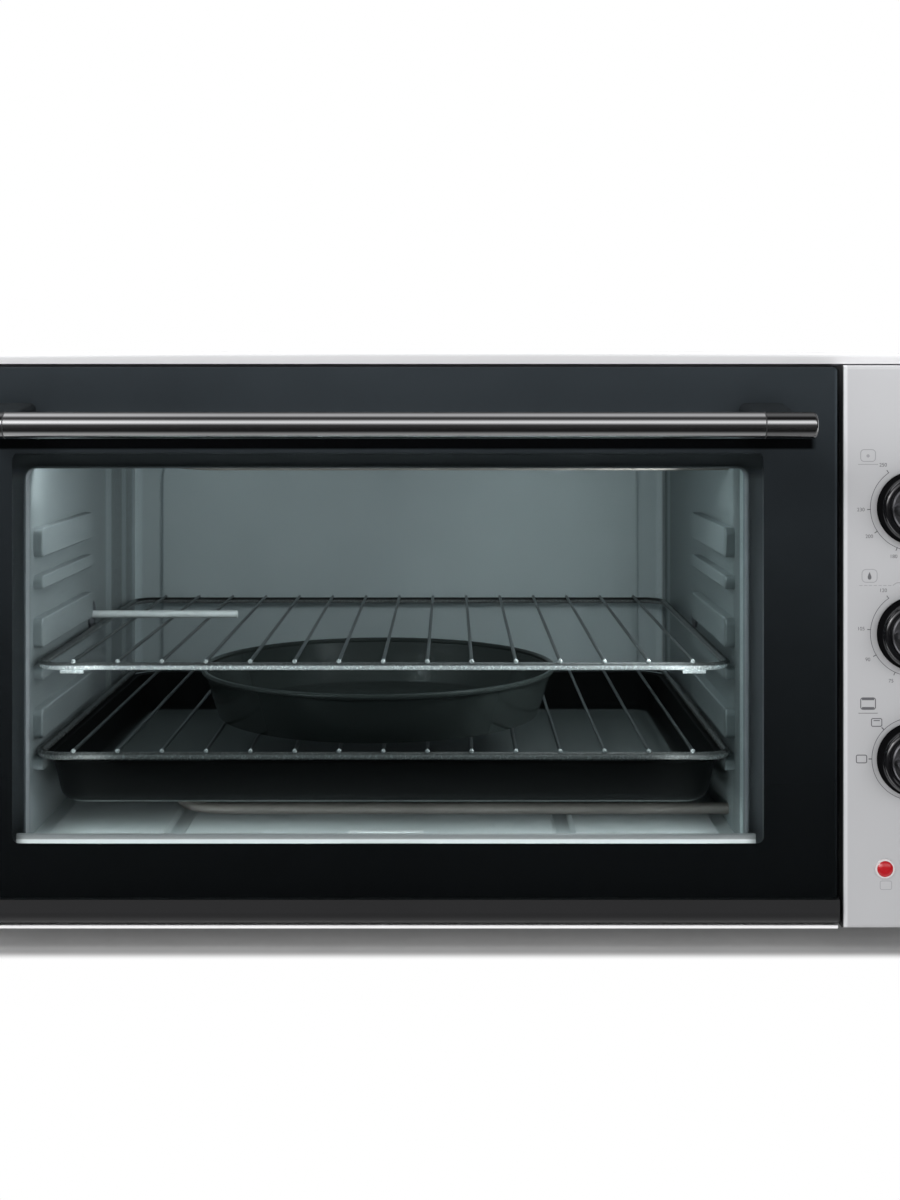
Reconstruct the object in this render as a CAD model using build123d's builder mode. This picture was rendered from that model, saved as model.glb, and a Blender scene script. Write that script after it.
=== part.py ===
"""Countertop toaster oven: sheet-metal case and cavity, drop-down glass door, control column on the right.

Frame: X runs to the right as seen from the front, Y runs from the front to the back, Z is up.
The origin is the middle of the footprint, on the surface that the feet stand on. Millimetres.
"""
import os
from math import atan2, degrees

from build123d import *

os.makedirs("parts", exist_ok=True)

# ---------------------------------------------------------------- case
case_w = 578.0  # over the cover
case_h = 314.0  # underside of the base plate to the crown of the cover
case_d = 363.5  # face of the front frame to the outer face of the back panel
crown = 1.5  # rise of the cover's top at mid-width
cover_t = 0.8
cover_corner_r = 10.0
cover_reach = 6.5  # the cover's lip stands this far in front of the frame
lip_edge_r = 2.5
lip_side = 4.2  # width of the rolled lip down each side
lip_top = 7.0  # height of the rolled lip across the top
base_t = 1.0
base_lip_t = 1.6  # folded front lip under the door
base_lip_reach = 20.5
base_flange_h = 12.0
base_flange_t = 1.0
back_t = 0.8
back_room = 33.5  # back of the cavity to the back of the case
frame_t = 1.2
boss_h = 4.0  # raised field of the back panel
boss_margin_x = 11.2  # field inside the cavity's outline, each side
boss_margin_z = 26.5
boss_r = 12.0
boss_edge_r = 2.0
spacer_h = 6.5
spacer_r = 8.0
spacer_tip_r = 6.6
spacer_inset_x = 89.0
spacer_drop = 34.0
foot_h = 14.0
foot_r = 11.0
foot_base_r = 8.0
foot_toe_r = 9.4
foot_toe_h = 1.4
foot_inset_x = 19.0
foot_inset_front = 30.0
foot_inset_back = 28.0
vent_w = 3.2
vent_l = 30.0
vent_gap = 12.0  # between rows of slots, end to end
vent_pitch = 9.0
vent_rows = 2
vent_columns = 8
vent_rise = 60.0  # base plate's underside to the middle of the side slots
rear_vent_shift = 30.0  # rear slots above the middle of the cavity
rear_vent_count = 7
base_vent_count = 6
shield_vent_columns = 4
shield_vent_count = 3
case_screw_inset = 7.0
case_screw_end = 40.0  # upper and lower screws from the top and the bottom of the case

# ---------------------------------------------------------------- door
panel_w = 76.5  # control panel beside the door
panel_gap = 1.9  # door to control panel
door_t = 24.0  # face of the glass to the back of the inner frame
door_gap = 1.0  # inner frame to front frame
door_side_gap = 1.0  # door to the lip of the cover
door_top_gap = 2.1
door_lift = 0.8  # bottom rail above the base lip
rail_h = 14.4
rail_back_chamfer = 5.0
glass_t = 4.0
glass_corner_r = 3.0
glass_edge = 0.6
border_t = 0.2
window_left = 40.6  # left edge of the door to the left edge of the window
window_right = 40.3
window_low = 29.4  # bottom of the outer glass to the bottom of the window
window_drop = 46.5  # top of the outer glass to the top of the window
window_r = 4.0
inner_frame_inset = 6.0  # inner frame inside the edge of the glass
inner_frame_t = 1.2
inner_frame_r = 6.0
opening_left = 45.2  # opening of the inner frame, from the same edges as the window
opening_right = 47.6
opening_low = 23.2
opening_drop = 55.5
opening_r = 5.0
jamb_t = 1.0
jamb_depth = 7.5
inner_glass_t = 3.0
inner_glass_lap = 8.0
inner_glass_r = 2.0
retainer_h = 5.0
retainer_t = 2.0
retainer_edge_r = 1.2
retainer_low = 1.5  # bottom of the strip under the window's edge

# ---------------------------------------------------------------- handle
handle_reach = 42.0  # face of the glass to the front of the handle
handle_r = 7.0
handle_wall = 1.2
handle_inset = 47.6  # end of the tube inside the edge of the door
handle_drop = 30.9  # top of the door to the axis of the tube
sleeve_l = 27.0
sleeve_lap = 12.0  # spigot inside the tube
bracket_w = 26.0
bracket_h = 20.0
bracket_r = 4.0
bracket_neck_h = 11.9  # height of the bracket where it meets the tube
bracket_neck_r = 3.0
bracket_lap = 7.0  # the bracket reaches this far behind the tube
bracket_raise = 1.5
sleeve_end_r = 2.0
screw_r = 2.0
screw_l = 20.0
screw_head_r = 4.0
screw_head_h = 2.4
screw_head_taper = 20.0  # degrees

# ---------------------------------------------------------------- hinge
hinge_in = 7.5  # axis behind the face of the glass, and above the underside of the rail
hinge_inset = 14.0  # middle of each ear inside the edge of the door
ear_t = 2.5
ear_r = 5.5
ear_under = 1.0  # lower edge of the ear's arm below the axis
ear_tail = 30.0  # plate behind the front frame
ear_tail_rise = 8.0  # top of the plate above the ear
ear_slot_gap = 0.5
ear_flange = 14.0
ear_side_gap = 0.75
ear_swing_gap = 1.0
pin_r = 2.5
pin_l = 24.0
pin_clearance = 0.05

# ---------------------------------------------------------------- cavity
cavity_side = 44.6  # outside of the case to the cavity, on the left
control_room = 131.0  # cavity to the outside of the case, on the right
cavity_low = 38.0  # base plate's underside to the top of the cavity floor
top_room = 53.0  # cavity ceiling to the crown of the case
cavity_t = 0.8
mouth_r = 5.0
rib_h = 8.0
rib_reach = 5.5
rib_front_gap = 27.0  # ribs start this far behind the mouth
rib_back_gap = 170.0
stop_rib_h = 17.0
stop_rib_r = 4.0
stop_rib_gap = 10.5  # above the top of each support rib
rib_first = 44.1  # floor to the top of the lowest support rib
rib_last = 74.9  # top of the highest support rib to the ceiling
rib_levels = 3
rib_edge_r = 1.0
back_pad_margin_x = 20.7
back_pad_margin_z = 18.5
back_pad_t = 3.0
back_pad_edge_r = 2.4
back_pad_r = 14.0
floor_pad_t = 2.5
pad_slope = 45.0  # degrees, sides of the pressed pads
floor_pad_gap = 8.0
floor_pad_r = 4.0
floor_pad_left = 70.0  # width of the left pad
floor_pad_right = 86.0  # width of the right pad
floor_tab_w = 44.0
floor_tab_d = 6.0
ceiling_pad_margin = 45.0
ceiling_pad_r = 20.0

# ---------------------------------------------------------------- racks, pan and tray
slide_gap = 0.3  # between anything that slides out and what carries it
rack_side_gap = 2.7  # rack and tray to each side wall
rack_back_gap = 14.0
rack_front = 13.0  # behind the face of the front frame
rack_rail_r = 2.2
rack_wire_r = 1.0
rack_wire_pitch = 25.0
rack_wires = 15
rack_corner_r = 14.0
rack_wire_lap = 1.2  # wires end this far past the middle of the rails
rack_weld = 0.4  # wires sink this far into the rails
stub_r = 1.2  # bent-in ends under the front corners
stub_l = 13.0
tray_flare = 12.0  # rim outside the base of the tray, each side
tray_h = 27.0
tray_t = 0.8
tray_rim_t = 1.0
tray_corner_r = 16.0
tray_base_r = 8.0
pan_r = 112.0
pan_base_r = 101.0
pan_h = 28.0
pan_t = 0.9
pan_rim_r = 1.7
pan_x = -7.4  # from the middle of the cavity
pan_y = -34.0

# ---------------------------------------------------------------- heating
heater_r = 3.4
heater_bend_r = 30.0
heater_run_y = 99.5  # front and back runs, either side of the cavity's middle depth
heater_shift_y = -14.0
heater_left_gap = 77.0
heater_floor_gap = 9.0
heater_ceiling_gap = 12.0
heater_tail = 24.0
ceramic_r = 6.5
ceramic_l = 14.0
terminal_r = 1.6
terminal_gap = 4.0  # terminal to the heat shield
bulb_r = 2.5
bulb_l = 98.0
bulb_end_r = 1.2
bulb_rise = 106.3  # cavity floor to the axis of the bulb
bulb_shift_y = 12.0  # from the middle depth of the cavity
ferrule_r = 9.0
ferrule_neck_r = 5.0
ferrule_t = 1.5
ferrule_neck_l = 6.0

# ---------------------------------------------------------------- controls
panel_setback = 2.0  # panel face behind the face of the glass
panel_t = 2.0
panel_edge = 2.4
panel_top_gap = 1.0
panel_low = 0.7
knob_drop = 77.4  # top of the panel to the axis of the first knob
knob_pitch = 68.0
knob_gap = 1.0
knob_r = 20.0
knob_shoulder_r = 15.8
knob_belly_drop = 1.6  # loss of radius at the belly of the skirt
knob_belly_h = 6.5
knob_skirt_h = 1.5
knob_h = 9.0
knob_crown = 0.15  # slope of the skirt where it meets the shoulder
cap_r = 13.8
cap_h = 1.6
cap_edge = 0.7
cap_seat = 1.2  # depth of the seat in the knob
grip_w = 7.0
grip_l = 26.0
grip_h = 9.5
grip_taper = 6.0
grip_edge_r = 1.2
shaft_r = 3.0
shaft_clearance = 0.05
shaft_in_knob = 5.0
shaft_in_bush = 18.0
bush_r = 4.5
bush_l = 9.0
bush_hole_gap = 0.3
bush_panel_gap = 1.0
thermostat_size = (38.0, 32.0, 26.0)  # width, height, depth
timer_size = (52.0, 48.0, 34.0)
switch_size = (36.0, 36.0, 40.0)
unit_r = 3.0
tab_w = 6.3
tab_t = 0.8
tab_l = 8.0
nut_r = 8.0
nut_sides = 6
nut_h = 3.0
lamp_rise = 32.5  # bottom of the panel to the axis of the lamps
lamp_spread = 15.4  # each side of the middle of the panel
lamp_r = 4.3
lamp_flange_r = 5.2
lamp_flange_t = 0.8
lamp_dome = 1.6
lamp_body_r = 3.6
lamp_body_l = 17.0
shield_t = 0.8
shield_off = 38.2  # right wall of the cavity to the heat shield
shield_flange = 9.0
shield_top_gap = 2.0
gland_r = 9.0
gland_bore_r = 4.0
gland_nut_r = 12.0
gland_rise = 32.0
gland_inset = 42.0
gland_l = 16.0
gland_flange_t = 2.5
block_w = 22.0
block_d = 38.0
block_h = 16.0
block_r = 2.0
block_inset = 70.0  # back of the case to the middle of the block
block_hole_r = 2.4
block_hole_pitch = 12.0
block_rows = 2
block_poles = 3
block_hole_depth = 9.0

# ---------------------------------------------------------------- places worked out from the sizes
half_w = case_w / 2
inner_w = case_w - 2 * lip_side - 2 * door_side_gap
door_w = inner_w - panel_w - panel_gap
cavity_w = case_w - cavity_side - control_room
cavity_h = case_h - cavity_low - top_room
cavity_d = case_d - frame_t - back_room
overall_d = handle_reach + door_t + door_gap + case_d + spacer_h
rear_y = overall_d / 2
back_y = rear_y - spacer_h
frame_y = back_y - case_d
frame_back = frame_y + frame_t
door_back = frame_y - door_gap
glass_y = door_back - door_t
glass_back = glass_y + glass_t
border_back = glass_back + border_t
cover_y = frame_y - cover_reach
base_z = foot_h
base_top = base_z + base_t
case_top = base_z + case_h
lip_z = case_top - lip_top
mouth_half = half_w - lip_side
inside_half = half_w - cover_t

door_x0 = -mouth_half + door_side_gap
door_x1 = door_x0 + door_w
door_x = (door_x0 + door_x1) / 2
door_z0 = base_z + base_lip_t + door_lift
door_z1 = lip_z - door_top_gap
rail_top = door_z0 + rail_h
glass_h = door_z1 - rail_top
window_w = door_w - window_left - window_right
window_h = glass_h - window_low - window_drop
opening_w = door_w - opening_left - opening_right
opening_h = glass_h - opening_low - opening_drop
window_x = door_x0 + window_left + window_w / 2
window_z = rail_top + window_low + window_h / 2
opening_x = door_x0 + opening_left + opening_w / 2
opening_z = rail_top + opening_low + opening_h / 2
handle_half = door_w / 2 - handle_inset
handle_z = door_z1 - handle_drop
handle_y = glass_y - handle_reach + handle_r
handle_screw_xs = [door_x + side * (handle_half + bracket_w / 2 - bracket_lap) for side in (-1, 1)]

hinge_y = glass_y + hinge_in
hinge_z = door_z0 + hinge_in
hinge_xs = (door_x0 + hinge_inset, door_x1 - hinge_inset)

cavity_x0 = -half_w + cavity_side
cavity_x1 = cavity_x0 + cavity_w
cavity_x = (cavity_x0 + cavity_x1) / 2
cavity_y1 = frame_back + cavity_d
cavity_y = (frame_back + cavity_y1) / 2
floor_z = base_z + cavity_low
ceiling_z = floor_z + cavity_h
cavity_z = (floor_z + ceiling_z) / 2
rib_pitch = (cavity_h - rib_first - rib_last) / (rib_levels - 1)
rib_tops = [floor_z + rib_first + rib_pitch * level for level in range(rib_levels)]
rib_l = cavity_d - rib_front_gap - rib_back_gap
rib_y = frame_back + rib_front_gap + rib_l / 2
rack_w = cavity_w - 2 * rack_side_gap
rack_d = cavity_y1 - rack_back_gap - frame_y - rack_front
tray_w = rack_w
tray_d = rack_d
tray_base_w = tray_w - 2 * tray_flare
tray_base_d = tray_d - 2 * tray_flare

panel_x0 = door_x1 + panel_gap
panel_x1 = mouth_half - door_side_gap
panel_x = (panel_x0 + panel_x1) / 2
panel_y = glass_y + panel_setback
panel_z0 = base_z + panel_low
panel_z1 = lip_z - panel_top_gap
knob_zs = [panel_z1 - knob_drop - knob_pitch * row for row in range(3)]
knob_back = panel_y - knob_gap
lamp_z = panel_z0 + lamp_rise
lamp_xs = (panel_x - lamp_spread, panel_x + lamp_spread)
shield_x = cavity_x1 + shield_off
bulb_y = cavity_y + bulb_shift_y
bulb_z = floor_z + bulb_rise
gland_x = half_w - gland_inset
gland_z = base_z + gland_rise


def front_plane(y):
    """Plane across the oven at depth y: sketch x is X, sketch y is Z, and extrusions run forward."""
    return Plane.XZ.offset(-y)


def side_plane(x):
    """Plane along the oven at width x: sketch x is Y, sketch y is Z, and extrusions run to the right."""
    return Plane.YZ.offset(x)


def case_outline(inset, bottom):
    """Crowned section of the case as a closed face, drawn inside the cover's outer skin by inset."""
    half = half_w - inset
    shoulder = case_top - crown - inset
    with BuildSketch() as outline:
        with BuildLine():
            Polyline((-half, shoulder), (-half, bottom), (half, bottom), (half, shoulder))
            ThreePointArc((-half, shoulder), (0, case_top - inset), (half, shoulder))
        make_face()
        fillet(outline.vertices().group_by(Axis.Y)[-1], radius=cover_corner_r - inset)
    return outline.sketch


# ================================================================ case
with BuildPart() as outer_cover:
    with BuildSketch(front_plane(cover_y)):
        add(case_outline(0, base_z))
    extrude(amount=-(back_y - cover_y))
    lip_edges = outer_cover.faces().sort_by(Axis.Y)[0].edges()
    fillet(lip_edges.filter_by(lambda edge: edge.center().Z > base_z + 1), radius=lip_edge_r)
    offset(
        amount=-cover_t,
        openings=[outer_cover.faces().sort_by(Axis.Z)[0], outer_cover.faces().sort_by(Axis.Y)[-1]],
    )
    with BuildSketch(front_plane(cover_y)):
        with Locations((0, base_z)):
            Rectangle(2 * mouth_half, lip_z - base_z, align=(Align.CENTER, Align.MIN))
    extrude(amount=-2 * cover_t, mode=Mode.SUBTRACT)
    for side in (-1, 1):
        with BuildSketch(side_plane(side * half_w)):
            with Locations(((cavity_y + back_y) / 2, base_z + vent_rise)):
                with GridLocations(vent_pitch, vent_l + vent_gap, vent_columns, vent_rows):
                    SlotOverall(vent_l, vent_w, rotation=90)
        extrude(amount=-side * 2 * cover_t, mode=Mode.SUBTRACT)
outer_cover.part.label = "outer_cover"
export_step(outer_cover.part, "parts/outer_cover.step")

foot_spots = {
    "front_left": (-half_w + foot_inset_x, frame_y + foot_inset_front),
    "front_right": (half_w - foot_inset_x, frame_y + foot_inset_front),
    "back_left": (-half_w + foot_inset_x, back_y - foot_inset_back),
    "back_right": (half_w - foot_inset_x, back_y - foot_inset_back),
}

with BuildPart() as base_plate:
    with BuildSketch(Plane.XY.offset(base_z)):
        with BuildLine():
            Polyline(
                (-inside_half, frame_y),
                (inside_half, frame_y),
                (inside_half, back_y),
                (-inside_half, back_y),
                close=True,
            )
        make_face()
    extrude(amount=base_t)
    with BuildSketch(Plane.XY.offset(base_z)):
        with Locations((door_x, frame_y)):
            Rectangle(door_w, base_lip_reach, align=(Align.CENTER, Align.MAX))
    extrude(amount=base_lip_t)
    with BuildSketch(Plane.XY.offset(base_top)):
        for side in (-1, 1):
            with Locations((side * (inside_half - base_flange_t / 2), (frame_back + back_y - back_t) / 2)):
                Rectangle(base_flange_t, back_y - back_t - frame_back)
    extrude(amount=base_flange_h)
    with BuildSketch(Plane.XY.offset(base_z)):
        with Locations((cavity_x, cavity_y), (shield_x + (half_w - shield_x) / 2, cavity_y)):
            with GridLocations(vent_l + vent_gap, 2 * vent_pitch, 1, base_vent_count):
                SlotOverall(vent_l, vent_w)
        with Locations(*foot_spots.values()):
            Circle(screw_r)
    extrude(amount=base_t, mode=Mode.SUBTRACT)
base_plate.part.label = "base_plate"
export_step(base_plate.part, "parts/base_plate.step")

for spot, (foot_x, foot_y) in foot_spots.items():
    with BuildPart() as foot:
        with BuildSketch(Plane.XZ.offset(-foot_y)):
            with BuildLine():
                Polyline(
                    (foot_x, 0),
                    (foot_x + foot_base_r, 0),
                    (foot_x + foot_toe_r, foot_toe_h),
                    (foot_x + foot_r, foot_h),
                    (foot_x + screw_r, foot_h),
                    (foot_x + screw_r, base_top),
                    (foot_x, base_top),
                    close=True,
                )
            make_face()
        revolve(axis=Axis((foot_x, foot_y, 0), (0, 0, 1)))
    foot.part.label = f"foot_{spot}"
    export_step(foot.part, f"parts/foot_{spot}.step")

boss_w = cavity_w - 2 * boss_margin_x
boss_tall = cavity_h - 2 * boss_margin_z
spacer_x = half_w - spacer_inset_x
spacer_z = case_top - spacer_drop
spacer_spots = ((-spacer_x, spacer_z), (spacer_x, spacer_z))

with BuildPart() as back_panel:
    with BuildSketch(front_plane(back_y)):
        add(case_outline(cover_t, base_top))
    extrude(amount=back_t)
    with BuildSketch(front_plane(back_y)):
        with Locations((cavity_x, cavity_z)):
            RectangleRounded(boss_w, boss_tall, boss_r)
    extrude(amount=-boss_h)
    fillet(back_panel.faces().sort_by(Axis.Y)[-1].edges(), radius=boss_edge_r)
    with BuildSketch(front_plane(back_y - back_t)):
        with Locations((cavity_x, cavity_z)):
            RectangleRounded(boss_w - 2 * back_t, boss_tall - 2 * back_t, boss_r - back_t)
    extrude(amount=-boss_h, mode=Mode.SUBTRACT)
    with BuildSketch(front_plane(back_y)):
        with Locations((gland_x, cavity_z + rear_vent_shift)):
            with GridLocations(1, 2 * vent_pitch, 1, rear_vent_count):
                SlotOverall(vent_l, vent_w)
        with Locations((gland_x, gland_z)):
            Circle(gland_r)
        with Locations(*spacer_spots):
            Circle(screw_r)
    extrude(amount=back_t, mode=Mode.SUBTRACT)
back_panel.part.label = "back_panel"
export_step(back_panel.part, "parts/back_panel.step")

with BuildPart() as wall_spacers:
    with BuildSketch(front_plane(back_y)):
        with Locations(*spacer_spots):
            Circle(spacer_r)
    extrude(amount=-spacer_h, taper=degrees(atan2(spacer_r - spacer_tip_r, spacer_h)))
    with BuildSketch(front_plane(back_y)):
        with Locations(*spacer_spots):
            Circle(screw_r)
    extrude(amount=back_t)
wall_spacers.part.label = "wall_spacers"
export_step(wall_spacers.part, "parts/wall_spacers.step")

with BuildPart() as cord_gland:
    with BuildSketch(front_plane(back_y)):
        with Locations((gland_x, gland_z)):
            Circle(gland_nut_r)
    extrude(amount=-gland_flange_t)
    with BuildSketch(front_plane(back_y)):
        with Locations((gland_x, gland_z)):
            Circle(gland_r)
    extrude(amount=gland_l)
    with BuildSketch(front_plane(back_y - gland_l)):
        with Locations((gland_x, gland_z)):
            Circle(gland_bore_r)
    extrude(amount=-(gland_l + gland_flange_t), mode=Mode.SUBTRACT)
cord_gland.part.label = "cord_gland"
export_step(cord_gland.part, "parts/cord_gland.step")

ear_slot_h = ear_r + ear_under + 2 * ear_slot_gap

with BuildPart() as front_frame:
    with BuildSketch(front_plane(frame_y)):
        add(case_outline(cover_t, base_top))
        with Locations((cavity_x, cavity_z)):
            RectangleRounded(cavity_w, cavity_h, mouth_r, mode=Mode.SUBTRACT)
        for hinge_x in hinge_xs:
            with Locations((hinge_x, hinge_z - ear_under - ear_slot_gap)):
                Rectangle(ear_t, ear_slot_h, align=(Align.CENTER, Align.MIN), mode=Mode.SUBTRACT)
        for knob_z in knob_zs:
            with Locations((panel_x, knob_z)):
                Circle(bush_r + bush_hole_gap, mode=Mode.SUBTRACT)
        with Locations(*[(lamp_x, lamp_z) for lamp_x in lamp_xs]):
            Circle(lamp_flange_r, mode=Mode.SUBTRACT)
    extrude(amount=-frame_t)
front_frame.part.label = "front_frame"
export_step(front_frame.part, "parts/front_frame.step")

screw_x = half_w - case_screw_inset
screw_zs = (base_z + case_screw_end, cavity_z, case_top - case_screw_end)
screw_spots = [(x, z) for x in (-screw_x, screw_x) for z in screw_zs]

with BuildPart() as case_screws:
    with BuildSketch(front_plane(back_y)):
        with Locations(*screw_spots):
            Circle(screw_head_r)
    extrude(amount=-screw_head_h, taper=screw_head_taper)
case_screws.part.label = "case_screws"
export_step(case_screws.part, "parts/case_screws.step")

# ================================================================ cavity
def cavity_wall(face_x, inward, rod_holes=()):
    """Side wall with a support rib and an anti-tip rib for each rack level; inward is +1 or -1.

    The anti-tip rib is the broad one. Each wall has the hole for a ferrule at the height of the bulb.
    """
    with BuildPart() as wall:
        with BuildSketch(side_plane(face_x)):
            with Locations((cavity_y, cavity_z)):
                Rectangle(cavity_d, cavity_h)
        extrude(amount=-inward * cavity_t)
        with BuildSketch(side_plane(face_x)):
            for rib_top in rib_tops:
                with Locations((rib_y, rib_top - rib_h / 2)):
                    SlotOverall(rib_l, rib_h)
                with Locations((rib_y, rib_top + stop_rib_gap + stop_rib_h / 2)):
                    RectangleRounded(rib_l, stop_rib_h, stop_rib_r)
        extrude(amount=inward * rib_reach)
        faces = wall.faces().filter_by(Plane.YZ).group_by(Axis.X)
        crests = faces[-1] if inward > 0 else faces[0]
        fillet(crests.edges(), radius=rib_edge_r)
        with BuildSketch(side_plane(face_x)):
            with Locations((bulb_y, bulb_z)):
                Circle(ferrule_neck_r)
            for rod_hole in rod_holes:
                with Locations(rod_hole):
                    Circle(heater_r)
        extrude(amount=-inward * cavity_t, mode=Mode.SUBTRACT)
    return wall


cavity_left_wall = cavity_wall(cavity_x0, 1)
cavity_left_wall.part.label = "cavity_left_wall"
export_step(cavity_left_wall.part, "parts/cavity_left_wall.step")

heater_ys = [cavity_y + heater_shift_y - heater_run_y, cavity_y + heater_shift_y + heater_run_y]
heater_zs = {
    "bottom_heater": floor_z + heater_floor_gap,
    "top_heater": ceiling_z - heater_ceiling_gap,
}
heater_spots = [(y, z) for y in heater_ys for z in heater_zs.values()]

cavity_right_wall = cavity_wall(cavity_x1, -1, heater_spots)
cavity_right_wall.part.label = "cavity_right_wall"
export_step(cavity_right_wall.part, "parts/cavity_right_wall.step")

cavity_outer_w = cavity_w + 2 * cavity_t
back_pad_w = cavity_w - 2 * back_pad_margin_x
back_pad_h = cavity_h - 2 * back_pad_margin_z

with BuildPart() as cavity_back:
    with BuildSketch(front_plane(cavity_y1)):
        with Locations((cavity_x, cavity_z)):
            Rectangle(cavity_outer_w, cavity_h + 2 * cavity_t)
    extrude(amount=-cavity_t)
    with BuildSketch(front_plane(cavity_y1)):
        with Locations((cavity_x, cavity_z)):
            RectangleRounded(back_pad_w, back_pad_h, back_pad_r)
    extrude(amount=back_pad_t)
    fillet(cavity_back.faces().sort_by(Axis.Y)[0].edges(), radius=back_pad_edge_r)
    with BuildSketch(front_plane(cavity_y1 + cavity_t)):
        with Locations((cavity_x, cavity_z)):
            hollow_w = back_pad_w - 2 * back_pad_t
            hollow_h = back_pad_h - 2 * back_pad_t
            RectangleRounded(hollow_w, hollow_h, back_pad_r - back_pad_t)
    extrude(amount=back_pad_t, mode=Mode.SUBTRACT)
cavity_back.part.label = "cavity_back"
export_step(cavity_back.part, "parts/cavity_back.step")

pad_x1 = cavity_x0 + floor_pad_gap
pad_x2 = pad_x1 + floor_pad_left
pad_x4 = cavity_x1 - floor_pad_gap
pad_x3 = pad_x4 - floor_pad_right
floor_pads = ((pad_x1, pad_x2), (pad_x2 + floor_pad_gap, pad_x3 - floor_pad_gap), (pad_x3, pad_x4))
floor_pad_d = cavity_d - 2 * floor_pad_gap

with BuildPart() as cavity_floor:
    with BuildSketch(Plane.XY.offset(floor_z)):
        with Locations((cavity_x, cavity_y)):
            Rectangle(cavity_outer_w, cavity_d)
    extrude(amount=-cavity_t)
    with BuildSketch(Plane.XY.offset(floor_z)):
        for left, right in floor_pads:
            with Locations(((left + right) / 2, cavity_y)):
                RectangleRounded(right - left, floor_pad_d, floor_pad_r)
    extrude(amount=floor_pad_t, taper=pad_slope)
    with BuildSketch(Plane.XY.offset(floor_z - cavity_t)):
        for left, right in floor_pads:
            with Locations(((left + right) / 2, cavity_y)):
                Rectangle(right - left - 2 * floor_pad_t, floor_pad_d - 2 * floor_pad_t)
    extrude(amount=floor_pad_t, taper=pad_slope, mode=Mode.SUBTRACT)
    with BuildSketch(Plane.XY.offset(floor_z)):
        with Locations((cavity_x, frame_back + floor_pad_gap / 2)):
            Rectangle(floor_tab_w, floor_tab_d)
    extrude(amount=floor_pad_t)
cavity_floor.part.label = "cavity_floor"
export_step(cavity_floor.part, "parts/cavity_floor.step")

ceiling_pad_w = cavity_w - 2 * ceiling_pad_margin
ceiling_pad_d = cavity_d - 2 * ceiling_pad_margin

with BuildPart() as cavity_ceiling:
    with BuildSketch(Plane.XY.offset(ceiling_z)):
        with Locations((cavity_x, cavity_y)):
            Rectangle(cavity_outer_w, cavity_d)
    extrude(amount=cavity_t)
    with BuildSketch(Plane.XY.offset(ceiling_z)):
        with Locations((cavity_x, cavity_y)):
            RectangleRounded(ceiling_pad_w, ceiling_pad_d, ceiling_pad_r)
    extrude(amount=-floor_pad_t, taper=pad_slope)
    with BuildSketch(Plane.XY.offset(ceiling_z + cavity_t)):
        with Locations((cavity_x, cavity_y)):
            Rectangle(ceiling_pad_w - 2 * ceiling_pad_r, ceiling_pad_d - 2 * floor_pad_t)
            Rectangle(ceiling_pad_w - 2 * floor_pad_t, ceiling_pad_d - 2 * ceiling_pad_r)
    extrude(amount=-floor_pad_t, mode=Mode.SUBTRACT)
cavity_ceiling.part.label = "cavity_ceiling"
export_step(cavity_ceiling.part, "parts/cavity_ceiling.step")

with BuildPart() as heat_shield:
    shield_top = case_top - crown - cover_t - shield_top_gap
    shield_y = (frame_back + back_y - back_t) / 2
    shield_d = back_y - back_t - frame_back
    with BuildSketch(side_plane(shield_x)):
        with Locations((shield_y, (base_top + shield_top) / 2)):
            Rectangle(shield_d, shield_top - base_top)
    extrude(amount=shield_t)
    with BuildSketch(Plane.XY.offset(base_top)):
        with Locations((shield_x, frame_back)):
            Rectangle(shield_flange, shield_t, align=Align.MIN)
        with Locations((shield_x, back_y - back_t)):
            Rectangle(shield_flange, shield_t, align=(Align.MIN, Align.MAX))
    extrude(amount=shield_top - base_top)
    with BuildSketch(side_plane(shield_x)):
        with Locations((shield_y, cavity_z)):
            with GridLocations(vent_l + vent_gap, 2 * vent_pitch, shield_vent_columns, shield_vent_count):
                SlotOverall(vent_l, vent_w)
    extrude(amount=shield_t, mode=Mode.SUBTRACT)
heat_shield.part.label = "heat_shield"
export_step(heat_shield.part, "parts/heat_shield.step")

# ================================================================ heating
heater_x0 = cavity_x0 + heater_left_gap
heater_x1 = cavity_x1 + heater_tail


def heater_rod(z):
    """Sheathed rod bent into a U, with both ends through the right wall."""
    with BuildPart() as rod:
        with BuildLine(Plane.XY.offset(z)) as path:
            FilletPolyline(
                (heater_x1, heater_ys[0]),
                (heater_x0, heater_ys[0]),
                (heater_x0, heater_ys[1]),
                (heater_x1, heater_ys[1]),
                radius=heater_bend_r,
            )
        with BuildSketch(Plane(origin=path.line @ 0, z_dir=path.line % 0)):
            Circle(heater_r)
        sweep()
    return rod


top_heater = heater_rod(heater_zs["top_heater"])
top_heater.part.label = "top_heater"
export_step(top_heater.part, "parts/top_heater.step")

bottom_heater = heater_rod(heater_zs["bottom_heater"])
bottom_heater.part.label = "bottom_heater"
export_step(bottom_heater.part, "parts/bottom_heater.step")

with BuildPart() as heater_ends:
    with BuildSketch(side_plane(cavity_x1 + cavity_t)):
        with Locations(*heater_spots):
            Circle(ceramic_r)
            Circle(heater_r, mode=Mode.SUBTRACT)
    extrude(amount=ceramic_l)
    with BuildSketch(side_plane(heater_x1)):
        with Locations(*heater_spots):
            Circle(terminal_r)
    extrude(amount=shield_off - heater_tail - terminal_gap)
heater_ends.part.label = "heater_ends"
export_step(heater_ends.part, "parts/heater_ends.step")

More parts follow.
